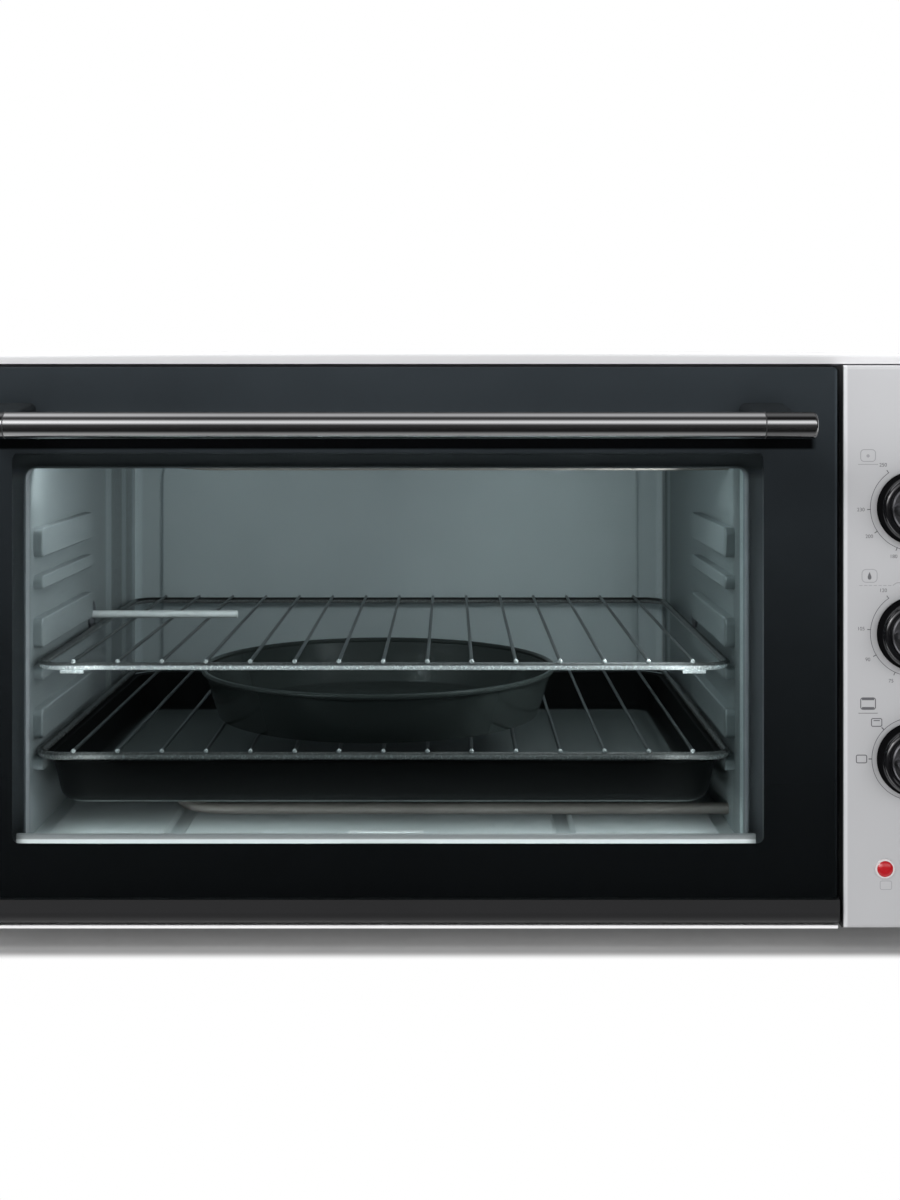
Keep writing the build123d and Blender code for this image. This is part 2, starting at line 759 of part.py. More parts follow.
with BuildPart() as thermostat_bulb:
    with BuildSketch(side_plane(cavity_x0 - cavity_t - ferrule_neck_l)):
        with Locations((bulb_y, bulb_z)):
            Circle(bulb_r)
    extrude(amount=ferrule_neck_l + cavity_t + bulb_l)
    fillet(thermostat_bulb.edges().filter_by(GeomType.CIRCLE), radius=bulb_end_r)
thermostat_bulb.part.label = "thermostat_bulb"
export_step(thermostat_bulb.part, "parts/thermostat_bulb.step")

with BuildPart() as bulb_ferrules:
    for wall_x, inward in ((cavity_x0, 1), (cavity_x1, -1)):
        with BuildSketch(side_plane(wall_x)):
            with Locations((bulb_y, bulb_z)):
                Circle(ferrule_r)
        extrude(amount=inward * ferrule_t)
        with BuildSketch(side_plane(wall_x)):
            with Locations((bulb_y, bulb_z)):
                Circle(ferrule_neck_r)
        extrude(amount=-inward * (cavity_t + ferrule_neck_l))
    with BuildSketch(side_plane(cavity_x0 + ferrule_t)):
        with Locations((bulb_y, bulb_z)):
            Circle(bulb_r)
    extrude(amount=-(ferrule_t + cavity_t + ferrule_neck_l), mode=Mode.SUBTRACT)
bulb_ferrules.part.label = "bulb_ferrules"
export_step(bulb_ferrules.part, "parts/bulb_ferrules.step")

# ================================================================ door
with BuildPart() as door_outer_glass:
    with BuildSketch(front_plane(glass_y)):
        with Locations((door_x, rail_top + glass_h / 2)):
            RectangleRounded(door_w, glass_h, glass_corner_r)
        with Locations(*[(x, handle_z) for x in handle_screw_xs]):
            Circle(screw_r, mode=Mode.SUBTRACT)
    extrude(amount=-glass_t)
    front_face = door_outer_glass.faces().sort_by(Axis.Y)[0]
    chamfer(front_face.outer_wire().edges(), length=glass_edge)
door_outer_glass.part.label = "door_outer_glass"
export_step(door_outer_glass.part, "parts/door_outer_glass.step")

with BuildPart() as door_glass_border:
    with BuildSketch(front_plane(glass_back)):
        with Locations((door_x, rail_top + glass_h / 2)):
            RectangleRounded(door_w - 2 * glass_edge, glass_h, glass_corner_r - glass_edge)
        with Locations((window_x, window_z)):
            RectangleRounded(window_w, window_h, window_r, mode=Mode.SUBTRACT)
        with Locations(*[(x, handle_z) for x in handle_screw_xs]):
            Circle(screw_r, mode=Mode.SUBTRACT)
    extrude(amount=-border_t)
door_glass_border.part.label = "door_glass_border"
export_step(door_glass_border.part, "parts/door_glass_border.step")

frame_w = door_w - 2 * inner_frame_inset
frame_h = glass_h - inner_frame_inset
skin_y = door_back - inner_frame_t
jamb_front = skin_y - jamb_depth

with BuildPart() as door_inner_frame:
    with BuildSketch(front_plane(door_back)):
        with Locations((door_x, rail_top + frame_h / 2)):
            RectangleRounded(frame_w, frame_h, inner_frame_r)
    extrude(amount=door_back - border_back)
    with BuildSketch(front_plane(skin_y)):
        with Locations((door_x, rail_top + frame_h / 2)):
            channel_w = frame_w - 2 * inner_frame_t
            channel_h = frame_h - 2 * inner_frame_t
            RectangleRounded(channel_w, channel_h, inner_frame_r - inner_frame_t)
    extrude(amount=skin_y - border_back, mode=Mode.SUBTRACT)
    with BuildSketch(front_plane(skin_y)):
        with Locations((opening_x, opening_z)):
            RectangleRounded(opening_w + 2 * jamb_t, opening_h + 2 * jamb_t, opening_r + jamb_t)
    extrude(amount=jamb_depth)
    with BuildSketch(front_plane(door_back)):
        with Locations((opening_x, opening_z)):
            RectangleRounded(opening_w, opening_h, opening_r)
    extrude(amount=door_back - jamb_front, mode=Mode.SUBTRACT)
door_inner_frame.part.label = "door_inner_frame"
export_step(door_inner_frame.part, "parts/door_inner_frame.step")

with BuildPart() as door_inner_glass:
    with BuildSketch(front_plane(jamb_front)):
        with Locations((opening_x, opening_z)):
            RectangleRounded(opening_w + 2 * inner_glass_lap, opening_h + 2 * inner_glass_lap, inner_glass_r)
    extrude(amount=inner_glass_t)
door_inner_glass.part.label = "door_inner_glass"
export_step(door_inner_glass.part, "parts/door_inner_glass.step")

retainer_z = rail_top + window_low - retainer_low

with BuildPart() as inner_glass_retainer:
    with BuildSketch(front_plane(jamb_front - inner_glass_t)):
        with Locations((opening_x, retainer_z)):
            Rectangle(opening_w + inner_glass_lap, retainer_h, align=(Align.CENTER, Align.MIN))
    extrude(amount=retainer_t)
    top_front = inner_glass_retainer.edges().filter_by(Axis.X).sort_by(Axis.Y)[:2].sort_by(Axis.Z)[-1]
    fillet(top_front, radius=retainer_edge_r)
inner_glass_retainer.part.label = "inner_glass_retainer"
export_step(inner_glass_retainer.part, "parts/inner_glass_retainer.step")

notch_w = ear_t + 2 * ear_side_gap
notch_r = ear_r + ear_swing_gap

with BuildPart() as door_bottom_rail:
    with BuildSketch(side_plane(door_x0)):
        with BuildLine():
            Polyline(
                (hinge_y, door_z0),
                (door_back - rail_back_chamfer, door_z0),
                (door_back, door_z0 + rail_back_chamfer),
                (door_back, rail_top),
                (glass_y, rail_top),
                (glass_y, hinge_z),
            )
            RadiusArc((glass_y, hinge_z), (hinge_y, door_z0), -hinge_in)
        make_face()
    extrude(amount=door_w)
    for hinge_x in hinge_xs:
        with BuildSketch(side_plane(hinge_x - notch_w / 2)):
            with Locations((hinge_y, hinge_z)):
                Circle(notch_r)
            with Locations((hinge_y - ear_under - ear_swing_gap, hinge_z + notch_r)):
                Rectangle(door_t, rail_h + notch_r, align=(Align.MIN, Align.MAX))
        extrude(amount=notch_w, mode=Mode.SUBTRACT)
        with BuildSketch(side_plane(hinge_x - pin_l / 2)):
            with Locations((hinge_y, hinge_z)):
                Circle(pin_r)
        extrude(amount=pin_l, mode=Mode.SUBTRACT)
door_bottom_rail.part.label = "door_bottom_rail"
export_step(door_bottom_rail.part, "parts/door_bottom_rail.step")

for side, hinge_x, inward in (("left", hinge_xs[0], 1), ("right", hinge_xs[1], -1)):
    with BuildPart() as hinge_pin:
        with BuildSketch(side_plane(hinge_x - pin_l / 2)):
            with Locations((hinge_y, hinge_z)):
                Circle(pin_r)
        extrude(amount=pin_l)
    hinge_pin.part.label = f"hinge_pin_{side}"
    export_step(hinge_pin.part, f"parts/hinge_pin_{side}.step")

    with BuildPart() as hinge_bracket:
        with BuildSketch(side_plane(hinge_x - ear_t / 2)):
            with Locations((hinge_y, hinge_z)):
                Circle(ear_r)
            with Locations((hinge_y, hinge_z - ear_under)):
                Rectangle(frame_back - hinge_y, ear_r + ear_under, align=Align.MIN)
            with Locations((frame_back, base_top)):
                Rectangle(ear_tail, hinge_z + ear_r + ear_tail_rise - base_top, align=Align.MIN)
            with Locations((hinge_y, hinge_z)):
                Circle(pin_r + pin_clearance, mode=Mode.SUBTRACT)
        extrude(amount=ear_t)
        with BuildSketch(Plane.XY.offset(base_top)):
            with Locations((hinge_x + inward * ear_flange / 2, frame_back)):
                Rectangle(ear_flange, ear_t, align=(Align.CENTER, Align.MIN))
        extrude(amount=hinge_z + ear_r + ear_tail_rise - base_top)
    hinge_bracket.part.label = f"hinge_bracket_{side}"
    export_step(hinge_bracket.part, f"parts/hinge_bracket_{side}.step")

# ---------------------------------------------------------------- handle
with BuildPart() as handle_tube:
    with BuildSketch(side_plane(door_x - handle_half)):
        with Locations((handle_y, handle_z)):
            Circle(handle_r)
            Circle(handle_r - handle_wall, mode=Mode.SUBTRACT)
    extrude(amount=2 * handle_half)
handle_tube.part.label = "handle_tube"
export_step(handle_tube.part, "parts/handle_tube.step")

for side, outward in (("left", -1), ("right", 1)):
    joint_x = door_x + outward * handle_half
    foot_x = joint_x + outward * (bracket_w / 2 - bracket_lap)
    with BuildPart() as handle_bracket:
        with BuildSketch(front_plane(glass_y)):
            with Locations((foot_x, handle_z + bracket_raise)):
                RectangleRounded(bracket_w, bracket_h, bracket_r)
        with BuildSketch(front_plane(handle_y)):
            with Locations((foot_x, handle_z)):
                RectangleRounded(bracket_w, bracket_neck_h, bracket_neck_r)
        loft()
        with BuildSketch(side_plane(joint_x)):
            with Locations((handle_y, handle_z)):
                Circle(handle_r)
        extrude(amount=outward * sleeve_l)
        end_face = handle_bracket.faces().sort_by(Axis.X)[0 if outward < 0 else -1]
        fillet(end_face.edges(), radius=sleeve_end_r)
        with BuildSketch(side_plane(joint_x)):
            with Locations((handle_y, handle_z)):
                Circle(handle_r)
        extrude(amount=-outward * bracket_w, mode=Mode.SUBTRACT)
        with BuildSketch(side_plane(joint_x)):
            with Locations((handle_y, handle_z)):
                Circle(handle_r - handle_wall)
        extrude(amount=-outward * sleeve_lap)
        with BuildSketch(front_plane(glass_y)):
            with Locations((foot_x, handle_z)):
                Circle(screw_r)
        extrude(amount=screw_l - glass_t, mode=Mode.SUBTRACT)
    handle_bracket.part.label = f"handle_bracket_{side}"
    export_step(handle_bracket.part, f"parts/handle_bracket_{side}.step")

with BuildPart() as handle_screws:
    with BuildSketch(front_plane(border_back)):
        with Locations(*[(x, handle_z) for x in handle_screw_xs]):
            Circle(screw_r)
    extrude(amount=screw_l - glass_t)
    with BuildSketch(front_plane(border_back)):
        with Locations(*[(x, handle_z) for x in handle_screw_xs]):
            Circle(screw_head_r)
    extrude(amount=-screw_head_h)
handle_screws.part.label = "handle_screws"
export_step(handle_screws.part, "parts/handle_screws.step")

# ================================================================ control column
with BuildPart() as control_panel:
    panel_h = panel_z1 - panel_z0
    with BuildSketch(front_plane(panel_y)):
        with Locations((panel_x, (panel_z0 + panel_z1) / 2)):
            Rectangle(panel_w, panel_h)
    extrude(amount=-(frame_y - panel_y))
    face_edges = control_panel.faces().sort_by(Axis.Y)[0].edges()
    fillet(face_edges, radius=panel_edge)
    offset(amount=-panel_t, openings=control_panel.faces().sort_by(Axis.Y)[-1])
    with BuildSketch(front_plane(panel_y)):
        for knob_z in knob_zs:
            with Locations((panel_x, knob_z)):
                Circle(bush_r + bush_panel_gap)
        with Locations(*[(lamp_x, lamp_z) for lamp_x in lamp_xs]):
            Circle(lamp_r)
    extrude(amount=-panel_t, mode=Mode.SUBTRACT)
control_panel.part.label = "control_panel"
export_step(control_panel.part, "parts/control_panel.step")

controls = (
    ("temperature", "thermostat", knob_zs[0], *thermostat_size),
    ("timer", "timer", knob_zs[1], *timer_size),
    ("function", "function_switch", knob_zs[2], *switch_size),
)
bush_front = frame_y - bush_l
shaft_back = frame_back + shaft_in_bush

for knob_name, unit_name, knob_z, unit_w, unit_h, unit_d in controls:
    with BuildPart() as unit:
        with BuildSketch(front_plane(frame_back)):
            with Locations((panel_x, knob_z)):
                RectangleRounded(unit_w, unit_h, unit_r)
        extrude(amount=-unit_d)
        with BuildSketch(front_plane(frame_back)):
            with Locations((panel_x, knob_z)):
                Circle(bush_r)
        extrude(amount=frame_back - bush_front)
        with BuildSketch(front_plane(bush_front)):
            with Locations((panel_x, knob_z)):
                Circle(shaft_r + shaft_clearance)
        extrude(amount=-(shaft_back - bush_front + knob_gap), mode=Mode.SUBTRACT)
        with BuildSketch(front_plane(frame_back + unit_d)):
            with Locations((panel_x, knob_z)):
                with GridLocations(unit_w / 2, unit_h / 2, 2, 2):
                    Rectangle(tab_w, tab_t)
        extrude(amount=-tab_l)
    unit.part.label = f"{unit_name}_body"
    export_step(unit.part, f"parts/{unit_name}_body.step")

    with BuildPart() as shaft:
        with BuildSketch(front_plane(shaft_back)):
            with Locations((panel_x, knob_z)):
                Circle(shaft_r)
        extrude(amount=shaft_back - knob_back + shaft_in_knob)
    shaft.part.label = f"{knob_name}_shaft"
    export_step(shaft.part, f"parts/{knob_name}_shaft.step")

    with BuildPart() as knob:
        with BuildSketch(Plane.YZ.offset(panel_x)):
            with BuildLine():
                Polyline(
                    (knob_back, knob_z),
                    (knob_back, knob_z + knob_r),
                    (knob_back - knob_skirt_h, knob_z + knob_r),
                )
                Spline(
                    (knob_back - knob_skirt_h, knob_z + knob_r),
                    (knob_back - knob_belly_h, knob_z + knob_r - knob_belly_drop),
                    (knob_back - knob_h, knob_z + knob_shoulder_r),
                    tangents=((-1, 0), (-knob_crown, -1)),
                )
                Polyline(
                    (knob_back - knob_h, knob_z + knob_shoulder_r),
                    (knob_back - knob_h + cap_seat, knob_z + cap_r),
                    (knob_back - knob_h + cap_seat, knob_z),
                    (knob_back, knob_z),
                )
            make_face()
        revolve(axis=Axis((panel_x, 0, knob_z), (0, 1, 0)))
        with BuildSketch(front_plane(knob_back)):
            with Locations((panel_x, knob_z)):
                Circle(shaft_r)
        extrude(amount=shaft_in_knob, mode=Mode.SUBTRACT)
    knob.part.label = f"{knob_name}_knob"
    export_step(knob.part, f"parts/{knob_name}_knob.step")

    cap_back = knob_back - knob_h + cap_seat
    with BuildPart() as knob_cap:
        with BuildSketch(front_plane(cap_back)):
            with Locations((panel_x, knob_z)):
                Circle(cap_r)
        extrude(amount=cap_h)
        chamfer(knob_cap.faces().sort_by(Axis.Y)[0].edges(), length=cap_edge)
        with BuildSketch(front_plane(cap_back - cap_h)):
            with Locations((panel_x, knob_z)):
                SlotOverall(grip_l, grip_w)
        extrude(amount=grip_h, taper=grip_taper)
        fillet(knob_cap.faces().sort_by(Axis.Y)[0].edges(), radius=grip_edge_r)
    knob_cap.part.label = f"{knob_name}_knob_cap"
    export_step(knob_cap.part, f"parts/{knob_name}_knob_cap.step")

with BuildPart() as control_nuts:
    with BuildSketch(front_plane(frame_y)):
        for knob_z in knob_zs:
            with Locations((panel_x, knob_z)):
                RegularPolygon(nut_r, nut_sides)
                Circle(bush_r, mode=Mode.SUBTRACT)
    extrude(amount=nut_h)
control_nuts.part.label = "control_nuts"
export_step(control_nuts.part, "parts/control_nuts.step")

dome_r = (lamp_r**2 + lamp_dome**2) / (2 * lamp_dome)

for lamp_name, lamp_x in (("heat", lamp_xs[0]), ("power", lamp_xs[1])):
    with BuildPart() as lamp:
        with BuildSketch(Plane.YZ.offset(lamp_x)):
            with BuildLine():
                Polyline(
                    (panel_y - lamp_flange_t - lamp_dome, lamp_z),
                    (panel_y + lamp_body_l, lamp_z),
                    (panel_y + lamp_body_l, lamp_z + lamp_body_r),
                    (panel_y + panel_t, lamp_z + lamp_body_r),
                    (panel_y + panel_t, lamp_z + lamp_r),
                    (panel_y, lamp_z + lamp_r),
                    (panel_y, lamp_z + lamp_flange_r),
                    (panel_y - lamp_flange_t, lamp_z + lamp_flange_r),
                    (panel_y - lamp_flange_t, lamp_z + lamp_r),
                )
                RadiusArc(
                    (panel_y - lamp_flange_t, lamp_z + lamp_r),
                    (panel_y - lamp_flange_t - lamp_dome, lamp_z),
                    -dome_r,
                )
            make_face()
        revolve(axis=Axis((lamp_x, 0, lamp_z), (0, 1, 0)))
    lamp.part.label = f"{lamp_name}_lamp"
    export_step(lamp.part, f"parts/{lamp_name}_lamp.step")

block_y = back_y - block_inset

with BuildPart() as terminal_block:
    with BuildSketch(Plane.XY.offset(base_top)):
        with Locations((gland_x, block_y)):
            RectangleRounded(block_w, block_d, block_r)
    extrude(amount=block_h)
    with BuildSketch(Plane.XY.offset(base_top + block_h)):
        with Locations((gland_x, block_y)):
            with GridLocations(block_hole_pitch, block_hole_pitch, block_rows, block_poles):
                Circle(block_hole_r)
    extrude(amount=-block_hole_depth, mode=Mode.SUBTRACT)
terminal_block.part.label = "terminal_block"
export_step(terminal_block.part, "parts/terminal_block.step")

# ================================================================ racks, tray and pan
rack_y0 = frame_y + rack_front
rack_y = rack_y0 + rack_d / 2


def cross_wires(support_z):
    """Front-to-back wires of a rack, each a solid of its own, sunk into the top of the rails."""
    wire_z = support_z + slide_gap + 2 * rack_rail_r + rack_wire_r - rack_weld
    with BuildPart() as wires:
        with BuildSketch(front_plane(rack_y0 + rack_rail_r - rack_wire_lap)):
            with Locations((cavity_x, wire_z)):
                with GridLocations(rack_wire_pitch, 1, rack_wires, 1):
                    Circle(rack_wire_r)
        extrude(amount=-(rack_d - 2 * rack_rail_r + 2 * rack_wire_lap))
    return wires


def rack_rails(support_z, wires, stubs):
    """Closed rail loop that slides on the ribs, with a seat in its top for each cross wire.

    With stubs, a short wire end lies under the front rail beside each front corner.
    """
    rail_z = support_z + slide_gap + rack_rail_r
    with BuildPart() as rails:
        with BuildLine(Plane.XY.offset(rail_z)) as loop:
            half_rack = rack_w / 2 - rack_rail_r
            rail_y0 = rack_y0 + rack_rail_r
            rail_y1 = rack_y0 + rack_d - rack_rail_r
            FilletPolyline(
                (cavity_x - half_rack, rail_y0),
                (cavity_x + half_rack, rail_y0),
                (cavity_x + half_rack, rail_y1),
                (cavity_x - half_rack, rail_y1),
                radius=rack_corner_r,
                close=True,
            )
        with BuildSketch(Plane(origin=loop.line @ 0, z_dir=loop.line % 0)):
            Circle(rack_rail_r)
        sweep()
        stub_reach = half_rack - rack_corner_r
        for stub_x in (cavity_x - stub_reach, cavity_x + stub_reach - stub_l) if stubs else ():
            with BuildSketch(side_plane(stub_x)):
                with Locations((rail_y0, rail_z - rack_rail_r - stub_r + rack_weld)):
                    Circle(stub_r)
            extrude(amount=stub_l)
        add(wires.part, mode=Mode.SUBTRACT)
    return rails


tray_rim_z = rib_tops[0] + slide_gap
for level, support_z, stubs in (("upper", rib_tops[1], True), ("lower", tray_rim_z + tray_rim_t, False)):
    rack_wire_set = cross_wires(support_z)
    rack_wire_set.part.label = f"{level}_rack_wires"
    export_step(rack_wire_set.part, f"parts/{level}_rack_wires.step")
    rack_rail_loop = rack_rails(support_z, rack_wire_set, stubs)
    rack_rail_loop.part.label = f"{level}_rack"
    export_step(rack_rail_loop.part, f"parts/{level}_rack.step")

tray_taper = -degrees(atan2(tray_flare / 2, tray_h))
tray_z = tray_rim_z + tray_rim_t - tray_h

with BuildPart() as tray_hollow:
    with BuildSketch(Plane.XY.offset(tray_z + tray_t)):
        with Locations((cavity_x, rack_y)):
            RectangleRounded(tray_base_w - 2 * tray_t, tray_base_d - 2 * tray_t, tray_corner_r - tray_t)
    extrude(amount=tray_h, taper=tray_taper)
    fillet(tray_hollow.faces().sort_by(Axis.Z)[0].edges(), radius=tray_base_r - tray_t)

with BuildPart() as baking_tray:
    with BuildSketch(Plane.XY.offset(tray_z)):
        with Locations((cavity_x, rack_y)):
            RectangleRounded(tray_base_w, tray_base_d, tray_corner_r)
    extrude(amount=tray_h, taper=tray_taper)
    fillet(baking_tray.faces().sort_by(Axis.Z)[0].edges(), radius=tray_base_r)
    with BuildSketch(Plane.XY.offset(tray_rim_z)):
        with Locations((cavity_x, rack_y)):
            RectangleRounded(tray_w, tray_d, tray_corner_r + tray_flare)
    extrude(amount=tray_rim_t)
    add(tray_hollow.part, mode=Mode.SUBTRACT)
baking_tray.part.label = "baking_tray"
export_step(baking_tray.part, "parts/baking_tray.step")

pan_z = tray_rim_z + tray_rim_t + slide_gap + 2 * rack_rail_r + 2 * rack_wire_r - rack_weld
pan_cx = cavity_x + pan_x
pan_cy = cavity_y + pan_y

with BuildPart() as round_pan:
    with BuildSketch(Plane.XZ.offset(-pan_cy)):
        with BuildLine():
            Polyline(
                (pan_cx, pan_z),
                (pan_cx + pan_base_r, pan_z),
                (pan_cx + pan_r - pan_rim_r, pan_z + pan_h),
                (pan_cx + pan_r - pan_rim_r - pan_t, pan_z + pan_h),
                (pan_cx + pan_base_r - pan_t, pan_z + pan_t),
                (pan_cx, pan_z + pan_t),
                close=True,
            )
        make_face()
        with Locations((pan_cx + pan_r - pan_rim_r, pan_z + pan_h)):
            Circle(pan_rim_r)
    revolve(axis=Axis((pan_cx, pan_cy, 0), (0, 0, 1)))
round_pan.part.label = "round_pan"
export_step(round_pan.part, "parts/round_pan.step")
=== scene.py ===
"""Looks of the toaster oven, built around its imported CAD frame.

Metres, +Z up, the front faces -Y. Small sizes are written in millimetres, times MM.
"""
import math

import bmesh
import bpy
from mathutils import Matrix, Vector


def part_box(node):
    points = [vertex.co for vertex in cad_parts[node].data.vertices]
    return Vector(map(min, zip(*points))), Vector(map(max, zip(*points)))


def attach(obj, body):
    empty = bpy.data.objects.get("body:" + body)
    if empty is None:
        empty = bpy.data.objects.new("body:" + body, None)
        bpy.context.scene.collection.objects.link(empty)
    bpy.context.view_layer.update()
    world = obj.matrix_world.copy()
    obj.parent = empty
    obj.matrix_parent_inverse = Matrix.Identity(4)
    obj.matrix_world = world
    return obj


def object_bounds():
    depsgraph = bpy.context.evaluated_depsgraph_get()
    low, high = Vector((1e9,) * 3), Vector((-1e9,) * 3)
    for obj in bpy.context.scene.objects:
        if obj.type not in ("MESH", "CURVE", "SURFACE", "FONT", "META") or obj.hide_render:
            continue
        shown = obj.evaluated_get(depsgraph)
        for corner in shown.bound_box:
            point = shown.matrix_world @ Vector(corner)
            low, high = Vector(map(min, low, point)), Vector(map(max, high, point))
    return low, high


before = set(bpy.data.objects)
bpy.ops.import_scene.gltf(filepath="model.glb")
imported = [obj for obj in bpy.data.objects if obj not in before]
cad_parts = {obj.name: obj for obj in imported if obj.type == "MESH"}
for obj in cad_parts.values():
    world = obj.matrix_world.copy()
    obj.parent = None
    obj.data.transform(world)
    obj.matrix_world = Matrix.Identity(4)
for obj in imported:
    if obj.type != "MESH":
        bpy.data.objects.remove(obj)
cad_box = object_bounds()

MM = 0.001
FRONT = Vector((0, -1, 0))
RIGHT = Vector((1, 0, 0))
SHARP_ANGLE = 38.0  # degrees between two faces from which their edge stays sharp
ON_AXIS = 1e-6  # millimetres: a lathe point this near the axis is a single vertex


# ---------------------------------------------------------------- small tools
def node(name):
    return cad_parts[name]


def middle(name):
    low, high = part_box(name)
    return (Vector(low) + Vector(high)) / 2


def low(name):
    return Vector(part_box(name)[0])


def high(name):
    return Vector(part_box(name)[1])


def piece(name, bm, material, body):
    """Turns a bmesh into a finished object that rides on a body and has a slot for its material."""
    bmesh.ops.recalc_face_normals(bm, faces=bm.faces)
    mesh = bpy.data.meshes.new(name)
    bm.to_mesh(mesh)
    bm.free()
    mesh.shade_smooth()
    mesh.set_sharp_from_angle(angle=math.radians(SHARP_ANGLE))
    obj = bpy.data.objects.new(name, mesh)
    bpy.context.scene.collection.objects.link(obj)
    mesh.materials.append(material)
    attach(obj, body)


def lathe(bm, profile, origin, axis, segments=96):
    """Adds a surface of revolution: profile is (radius, distance along the axis) in millimetres."""
    axis = axis.normalized()
    side = axis.orthogonal().normalized()
    other = axis.cross(side)
    rings = []
    for radius, along in profile:
        centre = origin + axis * along * MM
        if radius < ON_AXIS:
            rings.append([bm.verts.new(centre)])
            continue
        ring = []
        for step in range(segments):
            turn = 2 * math.pi * step / segments
            arm = side * math.cos(turn) + other * math.sin(turn)
            ring.append(bm.verts.new(centre + arm * radius * MM))
        rings.append(ring)
    for first, second in zip(rings, rings[1:]):
        for step in range(segments):
            after = (step + 1) % segments
            corners = [first[step % len(first)], first[after % len(first)]]
            corners += [second[after % len(second)], second[step % len(second)]]
            unique = list(dict.fromkeys(corners))
            if len(unique) > 2:
                bm.faces.new(unique)


# ---------------------------------------------------------------- materials
TONE = "tone"  # node that holds a surface's colour and its changes of tone
GRAIN_DEPTH = 0.04 * MM
COAT_ROUGH = 0.05
GLASS_ROUGH = 0.02
GLASS_IOR = 1.5


def new_material(name):
    material = bpy.data.materials.new(name)
    material.use_nodes = True
    tree = material.node_tree
    return material, tree, tree.nodes["Principled BSDF"]


def feed(tree, socket, value):
    """Links a socket to an input, or sets the input to a plain value."""
    if isinstance(value, bpy.types.NodeSocket):
        tree.links.new(value, socket)
    else:
        socket.default_value = value


def maths(tree, operation, *values):
    step = tree.nodes.new("ShaderNodeMath")
    step.operation = operation
    for socket, value in zip(step.inputs, values):
        feed(tree, socket, value)
    return step.outputs[0]


def scaled(tree, colour, factor):
    """Node that multiplies a colour by a factor."""
    scale = tree.nodes.new("ShaderNodeVectorMath")
    scale.operation = "SCALE"
    feed(tree, scale.inputs[0], colour)
    feed(tree, scale.inputs["Scale"], factor)
    return scale


def blend(tree, factor, first, second):
    """Shader that goes from the first to the second as the factor goes from 0 to 1."""
    mix = tree.nodes.new("ShaderNodeMixShader")
    for socket, value in zip(mix.inputs, (factor, first, second)):
        tree.links.new(value, socket)
    return mix.outputs[0]


def object_coords(tree, stretch):
    coords = tree.nodes.new("ShaderNodeTexCoord")
    mapping = tree.nodes.new("ShaderNodeMapping")
    mapping.inputs["Scale"].default_value = stretch
    tree.links.new(coords.outputs["Object"], mapping.inputs["Vector"])
    return mapping.outputs["Vector"]


def axis_place(tree, axis):
    """Place along an axis of the frame, in metres."""
    coords = tree.nodes.new("ShaderNodeTexCoord")
    split = tree.nodes.new("ShaderNodeSeparateXYZ")
    tree.links.new(coords.outputs["Object"], split.inputs[0])
    return split.outputs[axis]


def noise(tree, vector, scale, detail=3.0, rough=0.55):
    texture = tree.nodes.new("ShaderNodeTexNoise")
    texture.inputs["Scale"].default_value = scale
    texture.inputs["Detail"].default_value = detail
    texture.inputs["Roughness"].default_value = rough
    tree.links.new(vector, texture.inputs["Vector"])
    return texture.outputs["Fac"]


def remap(tree, value, low_to, high_to, low_from=0.3, high_from=0.7):
    """Spreads a value over a new range; the defaults take the middle part of a noise."""
    spread = tree.nodes.new("ShaderNodeMapRange")
    spread.inputs["From Min"].default_value = low_from
    spread.inputs["From Max"].default_value = high_from
    spread.inputs["To Min"].default_value = low_to
    spread.inputs["To Max"].default_value = high_to
    tree.links.new(value, spread.inputs["Value"])
    return spread.outputs["Result"]


def soft_step(tree, value, start, stop):
    """0 up to the start and 1 from the stop on, with a smooth change between them."""
    edge = tree.nodes.new("ShaderNodeMapRange")
    edge.interpolation_type = "SMOOTHSTEP"
    edge.inputs["From Min"].default_value = start
    edge.inputs["From Max"].default_value = stop
    tree.links.new(value, edge.inputs["Value"])
    return edge.outputs["Result"]


def ramp_over(tree, value, stops, unit, blue=1.0):
    """Grey levels over a value: stops are (place, level), and a place times the unit is a value."""
    start, stop = stops[0][0], stops[-1][0]
    ramp = tree.nodes.new("ShaderNodeValToRGB")
    elements = ramp.color_ramp.elements
    for where, level in stops:
        spot = (where - start) / (stop - start)
        element = elements[0] if spot == 0 else elements[-1] if spot == 1 else elements.new(spot)
        element.color = (level, level, level * blue, 1)
    tree.links.new(remap(tree, value, 0.0, 1.0, start * unit, stop * unit), ramp.inputs["Fac"])
    return ramp.outputs["Color"]


def surface(
    name, colour, rough, metal=0.0, tone=0.05, tone_scale=7.0, grain_scale=900.0, grain=0.04,
    stretch=(1, 1, 1), bump=0.15, coat=0.0, specular=0.5,
):
    """Painted, moulded or metal surface, with slow changes of tone and a fine grain."""
    material, tree, bsdf = new_material(name)
    vector = object_coords(tree, stretch)
    shade = remap(tree, noise(tree, vector, tone_scale), 1 - tone, 1 + tone)
    base = scaled(tree, colour, shade)
    base.name = TONE
    tree.links.new(base.outputs["Vector"], bsdf.inputs["Base Color"])
    fine = noise(tree, vector, grain_scale, detail=4.0)
    tree.links.new(remap(tree, fine, rough - grain, rough + grain), bsdf.inputs["Roughness"])
    relief = tree.nodes.new("ShaderNodeBump")
    relief.inputs["Strength"].default_value = bump
    relief.inputs["Distance"].default_value = GRAIN_DEPTH
    tree.links.new(fine, relief.inputs["Height"])
    tree.links.new(relief.outputs["Normal"], bsdf.inputs["Normal"])
    bsdf.inputs["Metallic"].default_value = metal
    bsdf.inputs["Coat Weight"].default_value = coat
    bsdf.inputs["Coat Roughness"].default_value = COAT_ROUGH
    bsdf.inputs["Specular IOR Level"].default_value = specular
    return material


